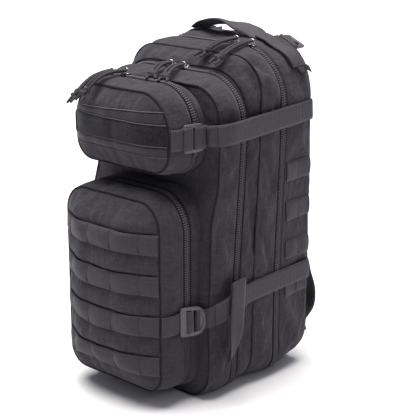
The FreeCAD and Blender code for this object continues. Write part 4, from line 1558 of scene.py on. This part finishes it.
def pull(name, middle, side):
    """One cord doubled through its slider: cord, bight, knot and two free tips."""
    body = name + "_pull"
    middle = [Vector(p) for p in middle]
    side = Vector(side).normalized()
    route = [p + side * STRAND_OFFSET for p in middle] + [p - side * STRAND_OFFSET for p in middle[::-1]]
    cord = nurbs_cord(name + "_pull_cord", route, CORD_D * MM)
    dress(cord, body, "cord", name + "_pull")
    way = (middle[-1] - middle[-2]).normalized()
    centre = middle[-1] - way * 0.5
    knot = Geometry().tube(knot_line(centre, way, side), KNOT_R, 8, closed=True)
    knot_piece = knot.piece(name + "_pull_knot", CORD, body, "cord")
    first = middle[0]
    back = (first - middle[1]).normalized() * BIGHT_DEEP
    turn = [math.pi * k / 8 for k in range(9)]
    line = [first + side * (STRAND_OFFSET * math.cos(t)) + back * math.sin(t) for t in turn]
    bight = Geometry().tube(line, CORD_D / 2 * 0.98, 8)
    bight_piece = bight.piece(name + "_pull_bight", CORD, body, "cord")
    tips = Geometry()
    for lean in (0.4, -0.3):
        end = centre + (way + side * lean).normalized() * 15
        bend_at = centre + (way * 0.7 + side * lean * 1.5).normalized() * 8
        tips.tube([centre + way * 2, bend_at, end],
                  lambda t: CORD_D / 2 * (0.95 if t < 0.9 else 0.7), 8)
    tip_piece = tips.piece(name + "_pull_tips", CORD, body, "cord")


def slider_places():
    """Each slider's place on its zip and its outward way."""
    def top(o, x, tilt=0.0):
        a = math.radians(tilt)
        return Vector((x, o["y"] + o["lean"] * o["top"], o["top"])), Vector((0, -math.sin(a), math.cos(a)))

    def arc(o, degrees):
        side = 1 if degrees >= 0 else -1
        a = math.radians(degrees)
        way = Vector((math.sin(a), 0, math.cos(a)))
        at = Vector((side * (o["half"] - o["r_top"]), 0, o["top"] - o["r_top"])) + way * o["r_top"]
        at.y = o["y"] + o["lean"] * at.z
        return at, way

    return {
        "main_left": top(MAIN_ZIP, 34), "main_right": arc(MAIN_ZIP, 12),
        "middle_left": top(MIDDLE_ZIP, -13, VALLEY_TILT), "middle_right": top(MIDDLE_ZIP, 8, VALLEY_TILT),
        "upper_left": arc(UPPER_ZIP, -20), "upper_right": top(UPPER_ZIP, -30),
        "lower_high": arc(LOWER_ZIP, -72),
        "lower_low": (Vector((-LOWER_ZIP["half"], LOWER_ZIP["y"], 205)), Vector((-1, 0, 0))),
    }


def sliders():
    """Cast sliders: two plates, the wedge between them and the bridge that the pull goes through."""
    for name, (at, up) in slider_places().items():
        along = Vector((1, 0, 0)) if abs(up.z) > 0.9 and name.startswith("middle") else \
            up.cross(Vector((0, 1, 0))).normalized()
        geometry = Geometry()
        outline = rounded([(-6.3, -2.6), (-1.5, -4.3), (4.2, -4.4), (6.3, -2.4),
                           (6.3, 2.4), (4.2, 4.4), (-1.5, 4.3), (-6.3, 2.6)], 2.2)
        for height, thick in ((1.5, 1.1), (3.6, 1.2)):
            place = frame_at(at + up * height, along, up.cross(along))
            geometry.take(moulding([outline], thick, 0.4), place)
        geometry.block(at + up * 2.5, along, up, (3.0, 2.4, 2.2))
        bridge = [at + along * x + up * z for x, z in
                  ((-4.6, 4.0), (-4.6, 6.6), (-3.0, 9.0), (0, 9.8), (3.0, 9.0), (4.6, 6.6), (4.6, 4.0))]
        geometry.tube(spaced(bridge, 1.0), 0.85, 8)
        piece = geometry.object(name + "_zip_slider", METAL)
        dress(piece, name + "_slider", "slider_metal", name + "_slider")


# ---- the top: handle, yoke and lifters ----
def arc_place(angle, y, lift):
    """Point on the back's right shoulder, that far round from straight up, and its outward way."""
    centre = Vector((BACK_EDGE["half"] - BACK_EDGE["r_top"], y, BACK_EDGE["top"] - BACK_EDGE["r_top"]))
    way = Vector((math.sin(angle), 0, math.cos(angle)))
    return centre + way * (BACK_EDGE["r_top"] + lift), way


def on_back(rear, angle, y, lift):
    """The same place, on the fabric that is really there."""
    far, way = arc_place(angle, y, 40)
    at = hit(rear, far, -way)
    return (at if at else far - way * 38) + way * lift, way


YOKE_TOP, YOKE_SPAN = 12, 54             # degrees round the back's shoulder, from straight up
END_TOP = 5                              # where a handle end begins
HANDLE_Y = 99.5


def yoke_patches(rear):
    """The patch over each shoulder that a padded strap is sewn to; its lower end stands free."""
    steps, cells, deep = 16, 8, 31
    rows = []
    for i in range(steps + 1):
        t = i / steps
        wide = 1 - 0.72 * smooth_step(t, 0.74, 1.0)
        free = 2.6 * smooth_step(t, 0.78, 1.0)
        outer, inner = [], []
        for c in range(cells + 1):
            share = c / cells - 0.5
            y = min(106.5 - 1.5 * t + share * deep * wide, 119.5)
            lift = 1.2 + free + 0.6 * math.cos(share * math.pi)
            p, way = on_back(rear, math.radians(YOKE_TOP + YOKE_SPAN * t), y, lift)
            outer.append(p + way * 1.1)
            inner.append(p - way * 0.9)
        rows.append(outer + inner[::-1])
    patch = Geometry().grid(rows, closed=True, ends=True, flip=True).mirror()
    patch.piece("yoke_patches", PACK, "pack", "pack_fabric", "shoulder_yoke")
    rim = [row[0] for row in rows] + [row[cells] for row in rows[::-1]]
    bound = Geometry().tube(rim, 0.95, 6, closed=True).mirror()
    bound.piece("yoke_patch_edges", PIPING_AND_SHADOW, "pack", "pack_fabric")


def handle_ends(rear):
    """The handle's sewn ends over the yoke patches: webbing, near-black lines along both its edges for the
    edges and their painted shadow, and two boxes of stitches.
    """
    def on_end(t, over, lift):
        """A point that share of the way down the end and that far over its middle line."""
        angle = math.radians(END_TOP + YOKE_SPAN * t)
        return on_back(rear, angle, HANDLE_Y + 3.5 * t + over, lift - 0.4 * t)

    half = (WEBBING - 1) / 2
    line = [on_end(i / 14, 0, 3.4)[0] for i in range(15)]
    ends = Geometry().strip(line, (0, 1, 0), WEBBING - 1, 2.8, 8).mirror()
    ends.piece("handle_ends", STRAP, "pack", "webbing")
    # Painted shadow: near-black tubes just under both edges of the sewn ends, standing for the edges and
    # their shade.
    edge_shades = Geometry()
    for side in (-half, half):
        edge_shades.tube([p + Vector((0, side, -0.6)) for p in line], 0.55, 6)
    edge_shades.mirror().piece("handle_end_hems", PIPING_AND_SHADOW, "pack", "webbing")
    seams = Geometry()
    for inset in (2.4, 4.0):
        wide = WEBBING / 2 - inset
        corners = ((0.08, -wide), (0.92, -wide), (0.92, wide), (0.08, wide), (0.08, -wide))
        fine = []
        for (a, b), (c, d) in zip(corners, corners[1:]):
            for k in range(20):
                t = k / 20
                fine.append(on_end(a + (c - a) * t, b + (d - b) * t, 4.75))
        stitches(seams, fine)
    seams.mirror().piece("handle_end_stitches", THREAD_LIGHT, "pack", "webbing")


def handle():
    """The grab handle in two halves, baked in place; neither bends nor swings."""
    arch = [(-58, 420.8), (-52, 425.2), (-43, 429.6), (-31, 433.2), (-18, 434.4), (-4, 433.6), (10, 431.6),
            (23, 429.0), (34, 426.2), (42, 423.2), (50, 420.2)]
    line = spaced([(x, HANDLE_Y, z) for x, z in arch], 2.6)
    last = len(line) - 1
    rows = []
    for i, p in enumerate(line):
        t = i / last
        grip = smooth_step(t, 0.06, 0.26) * (1 - smooth_step(t, 0.74, 0.94))
        way = (line[min(i + 1, last)] - line[max(i - 1, 0)]).normalized()
        over = Vector((0, 1, -0.4 + 0.85 * smooth_step(t, 0.4, 0.7) - 0.4 * smooth_step(t, 0.84, 1.0)))
        over = (over - way * over.dot(way)).normalized()
        up = over.cross(way)
        if up.z < 0:
            up = -up
        half = (WEBBING - 1) / 2 - grip
        thick = 1.3 + 0.6 * grip
        section = []
        for k in range(14):
            a = 2 * math.pi * k / 14
            flat = math.copysign(abs(math.cos(a)) ** 0.55, math.cos(a))
            height = math.copysign(abs(math.sin(a)) ** 0.7, math.sin(a))
            section.append(p + over * (flat * half) + up * (height * thick - 1.6 * grip * flat ** 2))
        rows.append(section)
    middle = len(line) // 2
    for name, part, edge, inner, nodes in (
            ("handle_left", rows[:middle + 1], -0.056, -0.040, ["carry_handle"]),
            ("handle_right", rows[middle:], 0.049, 0.036, [])):
        piece = Geometry().grid(part, closed=True, ends=True).object(name, STRAP)
        stretch(piece, "pack", "handle", (edge, 0, 0.42), (inner, 0, 0.42), *nodes)


def lifters():
    """Load lifter hardware: a ladder lock on edge behind each yoke patch with its webbing wrapped round."""
    low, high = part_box("load_lifter_locks")
    centre = Vector((68, (low.y + high.y) / 2 / MM, (low.z + high.z) / 2 / MM))
    slope = math.radians(24)
    x_way = Vector((math.cos(slope), 0, -math.sin(slope)))
    loops = [rounded(box_of(-13, -8, 13, 8), 2.5), rounded(box_of(-9.6, -5.6, 9.6, -1.4), 1),
             rounded(box_of(-9.6, 1.4, 9.6, 5.6), 1)]
    lock = Geometry().take(moulding(loops, 3.6, 0.9), frame_at(centre, x_way, (0, 1, 0)))
    piece = lock.mirror().object("lifter_locks", BUCKLE)
    shade_flat_faces(piece)
    dress(piece, "pack", "buckle_plastic", "load_lifter_locks")
    roll = [centre + x_way * t + Vector((0, -9.5, 1.0)) for t in (-13, -6, 0, 7, 14)]
    lead = [centre + Vector((0, y, z)) for y, z in
            ((-18, -5), (-12, 1.5), (-7, 4.6), (-2, 4.2), (2, 1.0), (5, -3))]
    wrapped = Geometry().tube(roll, 4.6, 12, squash=0.9).strip(lead, x_way, 19.0, 1.6, 6).mirror()
    wrapped.piece("lifter_webbing", STRAP, "pack", "webbing")
    tab = Geometry().strip([(94, 116, 391), (98.5, 120, 389), (102, 124, 385.5), (104, 126.5, 383.5)],
                           (0.5, 0, -0.86), 9, 1.6, 4)
    tab.mirror().piece("yoke_tabs", STRAP, "pack", "webbing")


# ---- harness ----
def harness():
    """Webbing from the shoulder straps' locks to the corner tabs, the chest strap and the tabs."""
    middle = 89.0
    route = spaced([(middle - 2, 139.5, 131), (middle - 1, 142, 118), (middle, 150, 96), (middle, 152.2, 80),
                    (middle, 149, 66), (middle - 1, 139, 56), (middle - 2, 129.0, 50)], 3.0)
    piece = Geometry().strip(route, (1, 0, 0), cells=6).mirror().object("harness_lower_webbing", STRAP)
    stretch(piece, "pack", "harness", (0, 0.12, 0.050), (0, 0.15, 0.1), "harness_webbing")
    low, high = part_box("sternum_webbing")
    y = (low.y + high.y) / 2 / MM
    left, right = (Geometry().strip(spaced([(a, y, 300), (b, y + 0.8, 300), (c, y, 300)], 3), UP, 20, 1.6, 5)
                   for a, b, c in ((-66, -40, -12.2), (66, 40, 19.4)))
    left.piece("sternum_strap_left", STRAP, "harness", "webbing", "sternum_webbing")
    piece = right.object("sternum_strap_right", STRAP)
    stretch(piece, "harness", "sternum_clip", (0.062, 0, 0.3), (0.024, 0, 0.3))
    corner = spaced([(80, 127.2, 56), (86, 127.6, 50), (93, 127.4, 42), (98, 126.0, 34)], 2.5)
    tabs = Geometry().strip(corner, (0.75, 0, 0.66), 27, 1.8, 6).mirror()
    tabs.piece("corner_tab_webbing", STRAP, "pack", "webbing", "corner_tabs")


def finish_frame_nodes():
    """Better surfaces for the frame's own pieces that stay."""
    for node, material in (("frame_sheet", BOARD), ("inner_sleeve", LINING), ("organiser_panel", LINING),
                           ("harness_locks", BUCKLE), ("sternum_clip", BUCKLE)):
        mesh = NODES[node].data
        mesh.materials.clear()
        mesh.materials.append(material)


# ---- the run ----
camera()
studio()
shells()
lower_face, upper_face = panels()
pad_from("back_pads", "back_cushions", MESH, "air_mesh", 4, 3)
pad_from("shoulder_straps", "shoulder_pads", PACK_OBJECT, "shoulder_padding", 4, 3)
run_cloth()
press_straps()
pipings()
zips()
pocket_faces(lower_face, upper_face)
side_rows()
side_locks()
upper_straps()
lower_straps()
strap_tails()
for name, (middle, side) in PULLS.items():
    pull(name, middle, side)
sliders()
back_fabric = surface_of(bpy.data.objects["rear_cover"])
yoke_patches(back_fabric)
handle_ends(back_fabric)
handle()
lifters()
harness()
finish_frame_nodes()
